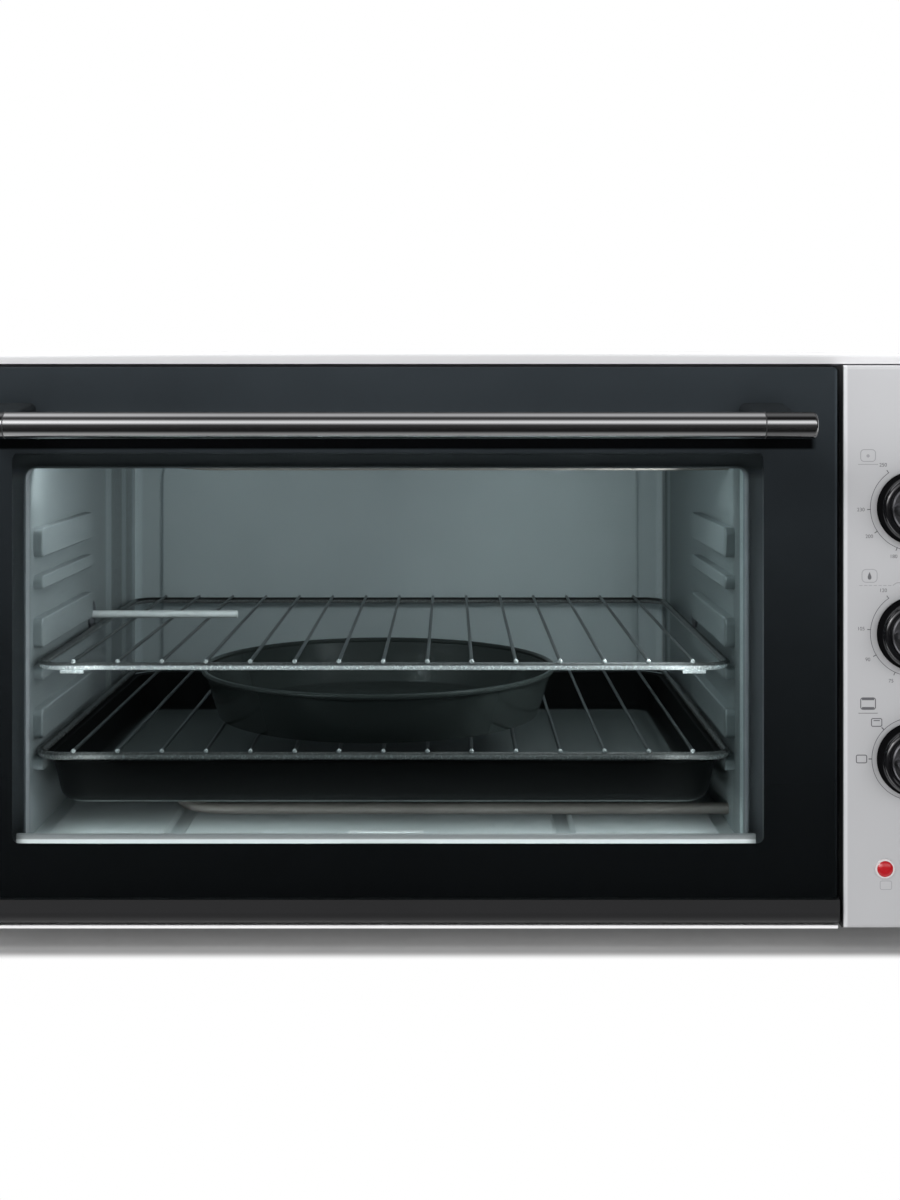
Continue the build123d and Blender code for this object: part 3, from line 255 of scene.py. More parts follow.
def shade_along(material, axis, stops):
    """Makes a material lighter or darker along an axis: stops are (place in millimetres, gain)."""
    tree = material.node_tree
    most = max(gain for _, gain in stops)
    shares = [(where, gain / most) for where, gain in stops]
    levels = ramp_over(tree, axis_place(tree, axis), shares, MM)
    tone = tree.nodes[TONE].inputs["Scale"]
    before = tone.links[0].from_socket
    tree.links.new(maths(tree, "MULTIPLY", before, maths(tree, "MULTIPLY", levels, most)), tone)


def pane_glass(name, tint, mirror):
    """Thin flat glass: tinted, seen straight through, with a mirror image on its outside.

    The image grows at grazing angles, and mirror is its share of what bare glass would show.
    """
    material, tree, bsdf = new_material(name)
    tree.nodes.remove(bsdf)
    shade = remap(tree, noise(tree, object_coords(tree, (1, 1, 1)), 14.0), 0.985, 1.0)
    clear = tree.nodes.new("ShaderNodeBsdfTransparent")
    tree.links.new(scaled(tree, tint, shade).outputs["Vector"], clear.inputs["Color"])
    gloss = tree.nodes.new("ShaderNodeBsdfGlossy")
    gloss.inputs["Roughness"].default_value = GLASS_ROUGH
    fresnel = tree.nodes.new("ShaderNodeFresnel")
    fresnel.inputs["IOR"].default_value = GLASS_IOR
    geometry = tree.nodes.new("ShaderNodeNewGeometry")
    from_outside = maths(tree, "MULTIPLY_ADD", geometry.outputs["Backfacing"], -mirror, mirror)
    share = maths(tree, "MULTIPLY", fresnel.outputs["Fac"], from_outside)
    mix = blend(tree, share, clear.outputs[0], gloss.outputs[0])
    tree.links.new(mix, tree.nodes["Material Output"].inputs["Surface"])
    return material


case_paint = surface("case_paint", (0.88, 0.88, 0.885), 0.36, tone=0.02, grain_scale=1400)
panel_silver = surface(
    "panel_silver", (0.53, 0.533, 0.545), 0.46, metal=0.25, tone=0.03, grain_scale=2600, grain=0.09
)
# Painted light: the panel grows lighter towards its top, where the light falls.
shade_along(panel_silver, "Z", ((14, 1.1), (60, 1.08), (170, 1.06), (260, 1.12), (320, 1.28)))
# Painted shade on the panel's left side face in the gap by the door, and a painted highlight on the
# rounded edge beside it.
shade_along(panel_silver, "X", (
    (207, 0.03), (207.8, 0.03), (208.2, 1.3), (209.6, 1.3), (210.4, 1), (284, 1),
))
galvanised = surface(
    "galvanised", (0.52, 0.53, 0.55), 0.42, metal=0.9, tone=0.07, tone_scale=90, grain=0.08
)
frame_paint = surface("frame_paint", (0.09, 0.09, 0.10), 0.5, tone=0.05)
# Painted light: the front frame is five times lighter where it shows in the gap at the control
# panel, hiding the shade there.
shade_along(frame_paint, "X", ((-290, 1), (206, 1), (208, 5), (290, 5)))
# The cavity's back, ceiling and side walls are one steel. Their different base colours are lit and
# shaded copies of it: painted light and shade.
cavity_look = dict(rough=0.42, metal=0.45, tone=0.06, tone_scale=9, grain_scale=500, grain=0.06)
cavity_steel = surface("cavity_steel", (0.63, 0.69, 0.71), **cavity_look)
# Painted light and shade across the back and ceiling: painted highlights at both corners, a darker
# middle, lighter towards the right, and painted shade past the right corner's highlight.
shade_along(cavity_steel, "X", (
    (-244.5, 1.25), (-240, 1.2), (-238, 1), (-50, 0.92), (90, 1.15), (150, 1.2), (151.5, 1.4),
    (155, 1.4), (155.8, 0.6), (158, 0.6),
))
left_steel = surface("cavity_left_steel", (0.36, 0.39, 0.40), **cavity_look)
# Painted light and shade along the left wall: a painted highlight on its front edge, painted
# highlights in bands towards the back corner, and painted shade between them.
shade_along(left_steel, "Y", (
    (-151, 1.25), (-139, 1.25), (-136, 1), (-20, 0.95), (55, 0.82), (72, 0.85), (76, 1.2),
    (90, 1.2), (95, 0.7), (127, 0.7), (131, 1.15), (142, 1.15), (147, 0.75), (166, 0.85),
    (171, 1.3), (179, 1.3),
))
right_steel = surface("cavity_right_steel", (0.25, 0.285, 0.29), **cavity_look)
# Painted light and shade along the right wall: a bright painted highlight on its front edge, a
# painted highlight near the back corner, and painted shade between and beyond them.
shade_along(right_steel, "Y", (
    (-151, 2.4), (-140, 2.4), (-138, 0.8), (-119, 0.8), (-116, 1.1), (20, 1), (130, 0.72),
    (150, 0.72), (154, 1.4), (166, 1.4), (168, 0.7), (179, 0.7),
))
floor_steel = surface(
    "floor_steel", (0.74, 0.78, 0.79), 0.40, metal=0.4, tone=0.05, tone_scale=12, grain_scale=500,
    grain=0.06,
)
black_print = surface(
    "black_enamel_print", (0.0046, 0.0048, 0.0054), 0.24, tone=0.1, grain=0.01, bump=0.0,
    specular=0.6,
)
# Painted reflection: the print grows lighter towards the top, standing in for the bright room
# mirrored in the glass.
shade_along(black_print, "Z", (
    (17, 2.0), (44, 2.1), (85, 2.9), (166, 6.0), (247, 13.0), (309, 23.0), (319, 24.0),
))
# Painted highlight along the glass's right edge.
shade_along(black_print, "X", ((-284, 1), (203.2, 1), (203.7, 2.0), (205, 2.0)))
door_frame_paint = surface("door_frame_paint", (0.47, 0.465, 0.49), 0.45, tone=0.06)
# Painted shade: the inner frame is darker towards its bottom and much darker along its top.
shade_along(door_frame_paint, "Z", (
    (30, 0.75), (100, 0.85), (200, 1), (257, 1.05), (264, 0.4), (313, 0.4),
))
# Painted shade: the frame's rear part is nearly black.
shade_along(door_frame_paint, "Y", ((-173, 1), (-153.4, 1), (-152.9, 0.12), (-152, 0.12)))
rail_paint = surface("rail_paint", (0.020, 0.020, 0.021), 0.40, tone=0.05, grain_scale=1600)
polished_trim = surface("polished_trim", (0.95, 0.96, 0.96), 0.30, tone=0.02)
# Painted light and shade: the retainer's top face is lit and the face below it is painted shade.
shade_along(polished_trim, "Z", ((58, 1.0), (60.6, 1.0), (61.1, 0.45), (64, 0.45)))
brushed_look = dict(
    metal=1.0, tone=0.02, stretch=(0.02, 1, 1), grain_scale=2500, grain=0.03, bump=0.05
)
handle_steel = surface("handle_steel", (0.56, 0.56, 0.56), 0.11, **brushed_look)
sleeve_steel = surface("sleeve_steel", (0.60, 0.60, 0.60), 0.12, **brushed_look)
# Painted reflection and shade on the handle's end pieces: a lit band across their middle, darker
# above and below.
shade_along(sleeve_steel, "Z", (
    (279, 0.4), (284.6, 0.5), (286, 1), (290.4, 1), (291.2, 0.2), (295, 0.3), (300, 0.3),
))
heater_sheath = surface(
    "heater_sheath", (0.30, 0.27, 0.25), 0.45, metal=0.8, tone=0.14, tone_scale=30
)
ceramic = surface("heater_ceramic", (0.80, 0.78, 0.73), 0.55, tone=0.03)
# The racks are one steel. The upper rack's light copy, the lower rack's dark copy and the dark
# wires are lit and shaded copies of it: painted light and shade.
rail_look = dict(rough=0.26, metal=0.5, tone=0.05, tone_scale=25, bump=0.03)
upper_chrome = surface("upper_rack_chrome", (0.88, 0.90, 0.90), **rail_look)
# Painted highlight on the upper rack's front rail, and painted shade on the rails behind it and on
# the rail's upper side, which leaves a narrow bright line.
shade_along(upper_chrome, "Y", ((-139, 1), (-134, 1), (-131, 0.3), (165, 0.3)))
shade_along(upper_chrome, "Z", ((146, 1), (150.7, 1), (151.4, 0.12), (153, 0.12)))
lower_chrome = surface("lower_rack_chrome", (0.36, 0.36, 0.355), **rail_look)
# The same painted highlight and shade on the lower rack.
shade_along(lower_chrome, "Y", ((-139, 1), (-134, 1), (-131, 0.45), (165, 0.45)))
shade_along(lower_chrome, "Z", ((97, 1), (100.2, 1), (100.9, 0.35), (103, 0.35)))
rack_wire = surface(
    "rack_wire", (0.11, 0.118, 0.12), 0.34, metal=0.8, tone=0.08, tone_scale=25, bump=0.03
)
# Painted highlight: the beads are much lighter than the wires they sit on.
weld_painted_highlight = surface("weld_painted_highlight", (0.50, 0.52, 0.52), 0.25, metal=0.3, tone=0.03)
# Painted light: the pressed floor pad is a lighter copy of the floor's steel.
pad_steel = surface("pad_steel", (0.93, 0.95, 0.95), 0.4, metal=0.3, tone=0.03)
bulb_steel = surface("bulb_steel", (0.86, 0.88, 0.88), 0.34, metal=0.35, tone=0.04, tone_scale=40)
# Painted light: the galvanised base plate gets a much lighter, duller steel, so that its front lip
# shows as a lit line.
base_steel = surface("base_steel", (0.95, 0.95, 0.95), 0.42, tone=0.04, tone_scale=30)
pan_enamel = surface(
    "pan_enamel", (0.020, 0.024, 0.023), 0.20, tone=0.08, grain_scale=700, grain=0.03, bump=0.04
)
tray_enamel = surface(
    "tray_enamel", (0.0022, 0.0025, 0.0025), 0.45, tone=0.08, grain_scale=700, grain=0.03,
    specular=0.1,
)
# Painted highlight: a bright line along the tray's lower edge.
shade_along(tray_enamel, "Z", ((70, 48), (71.4, 48), (71.9, 1), (97.5, 1)))
knob_black = surface(
    "knob_black", (0.006, 0.006, 0.007), 0.12, tone=0.04, grain=0.02, bump=0.03, coat=0.6
)
knob_metal = surface(
    "knob_metal", (0.20, 0.20, 0.21), 0.34, metal=1.0, tone=0.05, grain_scale=1800, grain=0.05
)
screw_steel = surface("screw_steel", (0.50, 0.50, 0.51), 0.32, metal=1.0, tone=0.06, tone_scale=80)
unit_plastic = surface("unit_plastic", (0.50, 0.47, 0.40), 0.5, tone=0.04)
black_plastic = surface("black_plastic", (0.022, 0.022, 0.023), 0.45, tone=0.06)
foot_rubber = surface("foot_rubber", (0.020, 0.020, 0.020), 0.7, tone=0.08)
red_lens = surface("red_lens", (0.47, 0.006, 0.012), 0.22, tone=0.05, coat=0.8)
white_rim = surface("white_rim", (0.66, 0.64, 0.64), 0.35, tone=0.02)
print_grey = surface("print_grey", (0.13, 0.13, 0.14), 0.55, tone=0.04)
print_pale = surface("print_pale", (0.36, 0.36, 0.38), 0.55, tone=0.04)
tinted_glass = pane_glass("tinted_glass", (0.74, 0.77, 0.775), mirror=0.30)
clear_glass = pane_glass("clear_glass", (0.95, 0.97, 0.97), mirror=0.30)


def cover_up(material, mask, level):
    """Lays a black diffuse layer over a material where the mask is 1."""
    tree = material.node_tree
    dull = tree.nodes.new("ShaderNodeBsdfDiffuse")
    dull.inputs["Color"].default_value = (level, level, level * 1.1, 1)
    surface_input = tree.nodes["Material Output"].inputs["Surface"]
    before = surface_input.links[0].from_socket
    tree.links.new(blend(tree, mask, before, dull.outputs[0]), surface_input)


def dull_behind(material, front, fade):
    """Dead black behind a place in Y, so that only what stands ahead of it shines."""
    tree = material.node_tree
    cover_up(material, remap(tree, axis_place(tree, "Y"), 0.0, 1.0, front, front + fade), 0.005)


def dull_band(material, bottom, top, blur, limit, fade):
    """Dead black band across a material, between two heights, fading out at a limit in X."""
    tree = material.node_tree
    height = axis_place(tree, "Z")
    above = soft_step(tree, height, bottom - blur, bottom + blur)
    below = soft_step(tree, height, top + blur, top - blur)
    side = remap(tree, axis_place(tree, "X"), 1.0, 0.0, limit - fade, limit)
    cover_up(material, maths(tree, "MULTIPLY", maths(tree, "MULTIPLY", above, below), side), 0.006)


# Stands for the dark mirror image of the handle, which the print shows too faintly by itself.
handle_axis = middle("handle_tube")
dull_band(
    black_print, bottom=handle_axis.z - 13.6 * MM, top=handle_axis.z - 5.0 * MM, blur=0.8 * MM,
    limit=high("handle_bracket_right").x + 9 * MM, fade=3 * MM,
)
# Keeps the knobs' skirts from mirroring the silver panel at a grazing angle.
dull_behind(knob_black, low("temperature_knob").y + 2.3 * MM, fade=0.4 * MM)

NODE_MATERIALS = {
    case_paint: ["outer_cover"],
    panel_silver: ["control_panel"],
    base_steel: ["base_plate"],
    bulb_steel: ["thermostat_bulb"],
    galvanised: ["back_panel", "heat_shield", "hinge_bracket_left", "hinge_bracket_right"],
    frame_paint: ["front_frame", "bulb_ferrules"],
    cavity_steel: ["cavity_back", "cavity_ceiling"],
    left_steel: ["cavity_left_wall"],
    right_steel: ["cavity_right_wall"],
    floor_steel: ["cavity_floor"],
    black_print: ["door_glass_border"],
    door_frame_paint: ["door_inner_frame"],
    rail_paint: ["door_bottom_rail"],
    polished_trim: ["inner_glass_retainer"],
    handle_steel: ["handle_tube"],
    sleeve_steel: ["handle_bracket_left", "handle_bracket_right"],
    heater_sheath: ["top_heater", "bottom_heater"],
    ceramic: ["heater_ends", "terminal_block"],
    upper_chrome: ["upper_rack"],
    lower_chrome: ["lower_rack"],
    rack_wire: ["upper_rack_wires", "lower_rack_wires"],
    pan_enamel: ["round_pan"],
    tray_enamel: ["baking_tray"],
    knob_black: ["temperature_knob", "timer_knob", "function_knob"],
    knob_metal: ["temperature_knob_cap", "timer_knob_cap", "function_knob_cap"],
    screw_steel: [
        "temperature_shaft", "timer_shaft", "function_shaft", "case_screws", "control_nuts",
        "handle_screws", "hinge_pin_left", "hinge_pin_right",
    ],
    unit_plastic: ["thermostat_body", "timer_body", "function_switch_body"],
    black_plastic: ["cord_gland", "wall_spacers"],
    foot_rubber: ["foot_front_left", "foot_front_right", "foot_back_left", "foot_back_right"],
    red_lens: ["heat_lamp", "power_lamp"],
    tinted_glass: ["door_outer_glass"],
    clear_glass: ["door_inner_glass"],
}

for material, names in NODE_MATERIALS.items():
    for name in names:
        obj = node(name)
        for slot in obj.material_slots:
            slot.material = material


# ---------------------------------------------------------------- prints on the control panel
PRINT_DEPTH = 0.05  # millimetres in front of the panel's face, and as much behind it
DIAL_R = 23.2
DIAL_ARC = (-235, 55)  # degrees, anticlockwise from the right
DIAL_STEPS = 72
DIAL_LINE = 0.32
DIAL_TICK = 0.45
DIAL_TICKS = (23.0, 25.0)
DIAL_NUMBERS = 28.4  # radius of the circle that the numbers stand on
FUNCTION_R = 22.4
FUNCTION_TICK = 0.6
FUNCTION_TICKS = (22.6, 24.2)
FUNCTION_ICONS = 28.0
FUNCTION_PLACES = 6
FUNCTION_PITCH = 45  # degrees
NUMBER_SIZE = 2.0
NUMBER_FIT = 1.4  # size of the font over the height of its figures

panel_face = low("control_panel").y
icon_x = low("control_panel").x + 13.8 * MM


def polar(centre, angle, radius):
    """Point (x, z) at an angle in degrees and a radius in millimetres from a centre in metres."""
    turn = math.radians(angle)
    return centre.x + radius * MM * math.cos(turn), centre.z + radius * MM * math.sin(turn)


def panel_point(x, z, proud):
    """Point over the panel: x and z in metres, proud in millimetres in front of its face."""
    return Vector((x, panel_face - proud * MM, z))


def ribbon(bm, points, width, closed=False):
    """Printed line through points (x, z) in metres; its width is in millimetres."""
    count = len(points)
    edges = []
    for index, (x, z) in enumerate(points):
        before = points[index - 1] if closed or index else points[index]
        after = points[(index + 1) % count] if closed or index < count - 1 else points[index]
        along_in = Vector((x - before[0], z - before[1])).normalized()
        along_out = Vector((after[0] - x, after[1] - z)).normalized()
        along = (along_in + along_out).normalized()
        across = Vector((-along.y, along.x))
        across_out = Vector((-along_out.y, along_out.x)) if along_out.length else across
        reach = width * MM / 2 / max(0.5, across.dot(across_out))  # a mitre, at most twice as wide
        ring = []
        for side, front in ((1, 1), (-1, 1), (-1, -1), (1, -1)):
            edge_x, edge_z = x + across.x * reach * side, z + across.y * reach * side
            ring.append(bm.verts.new(panel_point(edge_x, edge_z, front * PRINT_DEPTH)))
        edges.append(ring)
    pairs = list(zip(edges, edges[1:]))
    if closed:
        pairs.append((edges[-1], edges[0]))
    for first, second in pairs:
        for corner in range(4):
            after = (corner + 1) % 4
            bm.faces.new((first[corner], first[after], second[after], second[corner]))
    if not closed:
        bm.faces.new(edges[0])
        bm.faces.new(edges[-1])


def plate(bm, outline):
    """Printed solid patch with an outline of (x, z) points in metres."""
    front = [bm.verts.new(panel_point(x, z, PRINT_DEPTH)) for x, z in outline]
    back = [bm.verts.new(panel_point(x, z, -PRINT_DEPTH)) for x, z in outline]
    bm.faces.new(front)
    bm.faces.new(back)
    for index in range(len(outline)):
        after = (index + 1) % len(outline)
        bm.faces.new((front[index], front[after], back[after], back[index]))


def circle_points(x, z, radius, start=0.0, stop=360.0, steps=96):
    """Points on a circle about (x, z); angles run anticlockwise from the right, in degrees."""
    points = []
    for step in range(steps + (stop - start < 360)):
        angle = math.radians(start + (stop - start) * step / steps)
        points.append((x + radius * MM * math.cos(angle), z + radius * MM * math.sin(angle)))
    return points


def box_points(x, z, width, height, radius, steps=5):
    """Rounded rectangle about (x, z), sizes in millimetres."""
    points = []
    for corner, (side_x, side_z) in enumerate(((1, 1), (-1, 1), (-1, -1), (1, -1))):
        centre = (x + side_x * (width / 2 - radius) * MM, z + side_z * (height / 2 - radius) * MM)
        points += circle_points(centre[0], centre[1], radius, corner * 90, corner * 90 + 90, steps)
    return points


def numeral(bm, text, x, z):
    """Plain number printed about (x, z)."""
    curve = bpy.data.curves.new("numeral", "FONT")
    curve.body = text
    curve.size = NUMBER_SIZE * MM * NUMBER_FIT
    curve.align_x = "CENTER"
    curve.align_y = "CENTER"
    curve.extrude = PRINT_DEPTH * MM
    holder = bpy.data.objects.new("numeral", curve)
    mesh = bpy.data.meshes.new_from_object(holder)
    upright = Matrix.Rotation(math.radians(90), 4, "X")
    mesh.transform(Matrix.Translation(panel_point(x, z, 0)) @ upright)
    bm.from_mesh(mesh)
    bpy.data.objects.remove(holder)
    bpy.data.curves.remove(curve)
    bpy.data.meshes.remove(mesh)


def knob_scale(name, knob, marks):
    """Arc with ticks and plain numbers; marks are (angle in degrees, number)."""
    centre = middle(knob)
    bm = bmesh.new()
    ribbon(bm, circle_points(centre.x, centre.z, DIAL_R, *DIAL_ARC, DIAL_STEPS), DIAL_LINE)
    for angle, _ in marks:
        ribbon(bm, [polar(centre, angle, radius) for radius in DIAL_TICKS], DIAL_TICK)
    for angle, text in marks:
        numeral(bm, text, *polar(centre, angle, DIAL_NUMBERS))
    piece(name, bm, print_grey, "root")


def bar(bm, x, z, half, width):
    """Printed level line about (x, z), reaching half its length in millimetres to each side."""
    ribbon(bm, [(x - half * MM, z), (x + half * MM, z)], width)


def function_prints(function):
    """Ring, ticks and square icons of the function dial, clockwise from the left."""
    bm = bmesh.new()
    line = 0.5
    ribbon(bm, circle_points(function.x, function.z, FUNCTION_R), DIAL_LINE, closed=True)
    for step in range(FUNCTION_PLACES):
        angle = 180 - FUNCTION_PITCH * step
        ribbon(bm, [polar(function, angle, radius) for radius in FUNCTION_TICKS], FUNCTION_TICK)
        x, z = polar(function, angle, FUNCTION_ICONS)
        ribbon(bm, box_points(x, z, 5.6, 4.2, 0.8), line, closed=True)
        if step in (1, 3):
            bar(bm, x, z + 1.0 * MM, 1.7, line)
        if step in (2, 3):
            bar(bm, x, z - 1.0 * MM, 1.7, line)
    piece("function_scale", bm, print_grey, "root")


def heat_icon(temperature):
    """Box with a dot in it, over a level line."""
    bm = bmesh.new()
    frame_points = box_points(icon_x, temperature.z + 28.4 * MM, 8.0, 6.4, 1.8)
    ribbon(bm, frame_points, 0.4, closed=True)
    plate(bm, circle_points(icon_x, temperature.z + 28.2 * MM, 0.9, steps=16))
    bar(bm, icon_x, temperature.z + 23.6 * MM, 5.4, 0.35)
    piece("icon_heat_faint", bm, print_pale, "root")


def time_icon(timer):
    """Frame over a dashed line that ends in a rising stroke, and a drop inside the frame."""
    z = timer.z + 31.2 * MM
    base = z - 5.2 * MM
    bm = bmesh.new()
    ribbon(bm, box_points(icon_x + 0.8 * MM, z, 8.2, 7.0, 2.2), 0.4, closed=True)
    for step in range(7):
        left = icon_x + (-4.8 + 2.6 * step) * MM
        ribbon(bm, [(left, base), (left + 1.8 * MM, base)], 0.35)
    rise = ((13.4, 0.0), (15.2, 1.3), (18.5, 1.9))
    ribbon(bm, [(icon_x + x * MM, base + up * MM) for x, up in rise], 0.4)
    piece("icon_time_frame", bm, print_pale, "root")
    drop = (
        (0.0, 2.2), (-0.5, 1.0), (-1.0, -0.4), (-1.0, -1.3), (-0.5, -2.0), (0.5, -2.0), (1.0, -1.3),
        (1.0, -0.4), (0.5, 1.0),
    )
    bm = bmesh.new()
    plate(bm, [(icon_x + (0.8 + x) * MM, z + up * MM) for x, up in drop])
    piece("icon_time_drop", bm, print_grey, "root")


def function_icon(function):
    """Box with two thick bars, over a thin line."""
    z = function.z + 30.0 * MM
    bm = bmesh.new()
    ribbon(bm, box_points(icon_x, z, 8.0, 6.2, 1.2), 0.5, closed=True)
    for offset in (2.4, -2.4):
        bar(bm, icon_x, z + offset * MM, 3.3, 1.1)
    bar(bm, icon_x, z - 5.2 * MM, 5.2, 0.3)
    piece("icon_function", bm, print_grey, "root")


def lamp_trim(lamp):
    """Icon under an indicator lamp and the turned rim around it."""
    centre = middle(lamp)
    bm = bmesh.new()
    frame_points = box_points(centre.x + 0.6 * MM, centre.z - 9.0 * MM, 6.2, 4.6, 0.9)
    ribbon(bm, frame_points, 0.35, closed=True)
    piece(f"{lamp}_icon", bm, print_pale, "root")
    rim = [(4.35, 0.0), (4.35, 0.95), (4.6, 1.05), (5.1, 0.95), (5.3, 0.6), (5.3, 0.0)]
    bm = bmesh.new()
    lathe(bm, rim, Vector((centre.x, panel_face, centre.z)), FRONT)
    piece(f"{lamp}_rim", bm, white_rim, "root")


def print_panel():
    knob_scale("temperature_scale", "temperature_knob", (
        (125, "250"), (182, "230"), (213, "200"), (248, "180"), (292, "150"), (327, "120"),
        (2, "90"), (40, "60"),
    ))
    knob_scale("timer_scale", "timer_knob", (
        (125, "120"), (175, "105"), (210, "90"), (245, "75"), (292, "60"), (330, "45"), (5, "30"),
        (45, "15"),
    ))
    function_prints(middle("function_knob"))
    heat_icon(middle("temperature_knob"))
    time_icon(middle("timer_knob"))
    function_icon(middle("function_knob"))
    for lamp in ("heat_lamp", "power_lamp"):
        lamp_trim(lamp)


# ---------------------------------------------------------------- trim of the cavity and the door
WIRE_COUNT = 15  # wires of each rack that end on its front rail
BEAD_R = 1.35
BEAD_STEPS = 6
BEAD_BACK = 0.6  # end of a wire to the flat side of its bead
SEAM_SINK = 0.3
SEAM_PROUD = 0.02
SEAM_FOOT = 0.45  # half widths of the joint line, below and at the tube's skin
SEAM_TOP = 0.35
PAD_SIZE = (43.0, 8.6)
PAD_CORNER = 1.6
PAD_INSET_Y = 20.0  # front edge of the floor to the middle of the pad
PAD_SHIFT_X = 1.3  # from the middle of the floor
PAD_LOOPS = ((0.0, -0.2), (0.0, 0.5), (0.6, 0.9))  # inset, height over the floor


def rack_welds(level, body):
    """Bead where each wire ends on the front rail; its light colour is a painted highlight."""
    wires = f"{level}_rack_wires"
    radius = (high(wires).z - low(wires).z) / 2
    first, last = low(wires).x + radius, high(wires).x - radius
    turns = [math.radians(90 * step / BEAD_STEPS) for step in range(BEAD_STEPS + 1)]
    bead = [(BEAD_R * math.cos(turn), BEAD_R * math.sin(turn)) for turn in turns]
    bm = bmesh.new()
    for index in range(WIRE_COUNT):
        x = first + (last - first) * index / (WIRE_COUNT - 1)
        lathe(bm, bead, Vector((x, low(wires).y + BEAD_BACK * MM, middle(wires).z)), FRONT, 20)
    piece(f"{level}_rack_welds", bm, weld_painted_highlight, body)


def handle_seams():
    """Dark joint where each end piece meets the tube."""
    tube_low, tube_high, axis = low("handle_tube"), high("handle_tube"), middle("handle_tube")
    radius = (tube_high.z - tube_low.z) / 2 / MM
    inner, outer = radius - SEAM_SINK, radius + SEAM_PROUD
    ring = [(inner, -SEAM_FOOT), (outer, -SEAM_TOP), (outer, SEAM_TOP), (inner, SEAM_FOOT)]
    for side, x in (("left", tube_low.x), ("right", tube_high.x)):
        bm = bmesh.new()
        lathe(bm, ring, Vector((x, axis.y, axis.z)), RIGHT)
        piece(f"handle_seam_{side}", bm, black_plastic, "door")


def floor_pad():
    """Low pressed pad near the front of the cavity's floor."""
    floor_top = high("cavity_floor").z
    place_x = middle("cavity_floor").x + PAD_SHIFT_X * MM
    place_y = low("cavity_floor").y + PAD_INSET_Y * MM
    bm = bmesh.new()
    loops = []
    for inset, rise in PAD_LOOPS:
        width, depth = (size - 2 * inset for size in PAD_SIZE)
        outline = box_points(place_x, place_y, width, depth, PAD_CORNER - inset)
        loops.append([bm.verts.new((x, y, floor_top + rise * MM)) for x, y in outline])
    for lower, upper in zip(loops, loops[1:]):
        for index in range(len(lower)):
            after = (index + 1) % len(lower)
            bm.faces.new((lower[index], lower[after], upper[after], upper[index]))
    bm.faces.new(loops[-1])
    bm.faces.new(list(reversed(loops[0])))
    piece("floor_pad", bm, pad_steel, "root")


floor_pad()
rack_welds("upper", "upper_rack")
rack_welds("lower", "lower_rack")
handle_seams()
print_panel()

# The print lies on the back of the glass. This small gap keeps the two faces from flickering.
behind_glass = node("door_glass_border").modifiers.new("behind_glass", "DISPLACE")
behind_glass.direction = "Y"
behind_glass.mid_level = 0.0
behind_glass.strength = 0.04 * MM


# ---------------------------------------------------------------- camera, light and floor
CAMERA_DISTANCE = 0.880  # in front of the glass
CAMERA_X = -0.0054
CAMERA_HEIGHT = 0.3026
CAMERA_LENS = 48.84
CAMERA_SHIFT = -0.169  # the camera looks level, and the picture lies below its axis
OVEN_MIDDLE = Vector((0, 0, 0.16))


def studio_camera():
    scene = bpy.context.scene
    scene.view_settings.view_transform = "Standard"
    camera_data = bpy.data.cameras.new("camera")
    camera = bpy.data.objects.new("camera", camera_data)
    scene.collection.objects.link(camera)
    camera.location = (CAMERA_X, low("door_outer_glass").y - CAMERA_DISTANCE, CAMERA_HEIGHT)
    camera.rotation_euler = (math.radians(90), 0, 0)
    camera_data.lens = CAMERA_LENS
    camera_data.shift_y = CAMERA_SHIFT
    scene.camera = camera


def add_lamp(name, place, size, power, target, mirrored=False):
    data = bpy.data.lights.new(name, "AREA")
    data.shape = "RECTANGLE"
    data.size, data.size_y = size
    data.energy = power
    lamp = bpy.data.objects.new(name, data)
    lamp.location = place
    lamp.visible_glossy = mirrored
    lamp.rotation_euler = (target - Vector(place)).to_track_quat("-Z", "Y").to_euler()
    bpy.context.scene.collection.objects.link(lamp)


def cavity_lamps():
    """Weak lamps in the cavity and the door, which stand for the room's light bouncing in there."""
    cavity = middle("cavity_ceiling")
    ceiling = low("cavity_ceiling").z
    mouth = low("cavity_ceiling").y
    sill = high("cavity_floor").z
    add_lamp(
        "cavity_light", (cavity.x + 0.17, mouth + 0.012, ceiling - 0.05), (0.05, 0.08), 0.75,
        Vector((cavity.x - 0.20, mouth + 0.10, 0.17)),
    )
    add_lamp(
        "ceiling_light", (cavity.x - 0.01, mouth + 0.03, ceiling - 0.006), (0.37, 0.04), 0.62,
        Vector((cavity.x - 0.01, cavity.y + 0.12, 0.12)),
    )
    add_lamp(
        "sill_light", (cavity.x, mouth + 0.003, sill + 0.012), (0.38, 0.008), 0.17,
        Vector((cavity.x, mouth + 0.05, sill - 0.002)),
    )
    strip = middle("inner_glass_retainer")
    strip_front = low("inner_glass_retainer").y
    add_lamp(
        "retainer_light", (strip.x, strip_front - 0.004, strip.z - 0.002), (0.40, 0.002), 0.012,
        Vector((strip.x, strip.y, strip.z - 0.002)),
    )
    rail = low("upper_rack")
    add_lamp(
        "rack_light", (cavity.x, rail.y - 0.012, rail.z + 0.003), (0.38, 0.003), 0.035,
        Vector((cavity.x, rail.y, rail.z + 0.003)),
    )
    walls = (("left", high("cavity_left_wall").x, 1), ("right", low("cavity_right_wall").x, -1))
    for side, wall, inward in walls:
        add_lamp(
            f"{side}_edge_light", (wall + inward * 0.03, mouth + 0.002, 0.16), (0.012, 0.20), 0.035,
            Vector((wall + inward * 0.015, mouth + 0.06, 0.16)),
        )


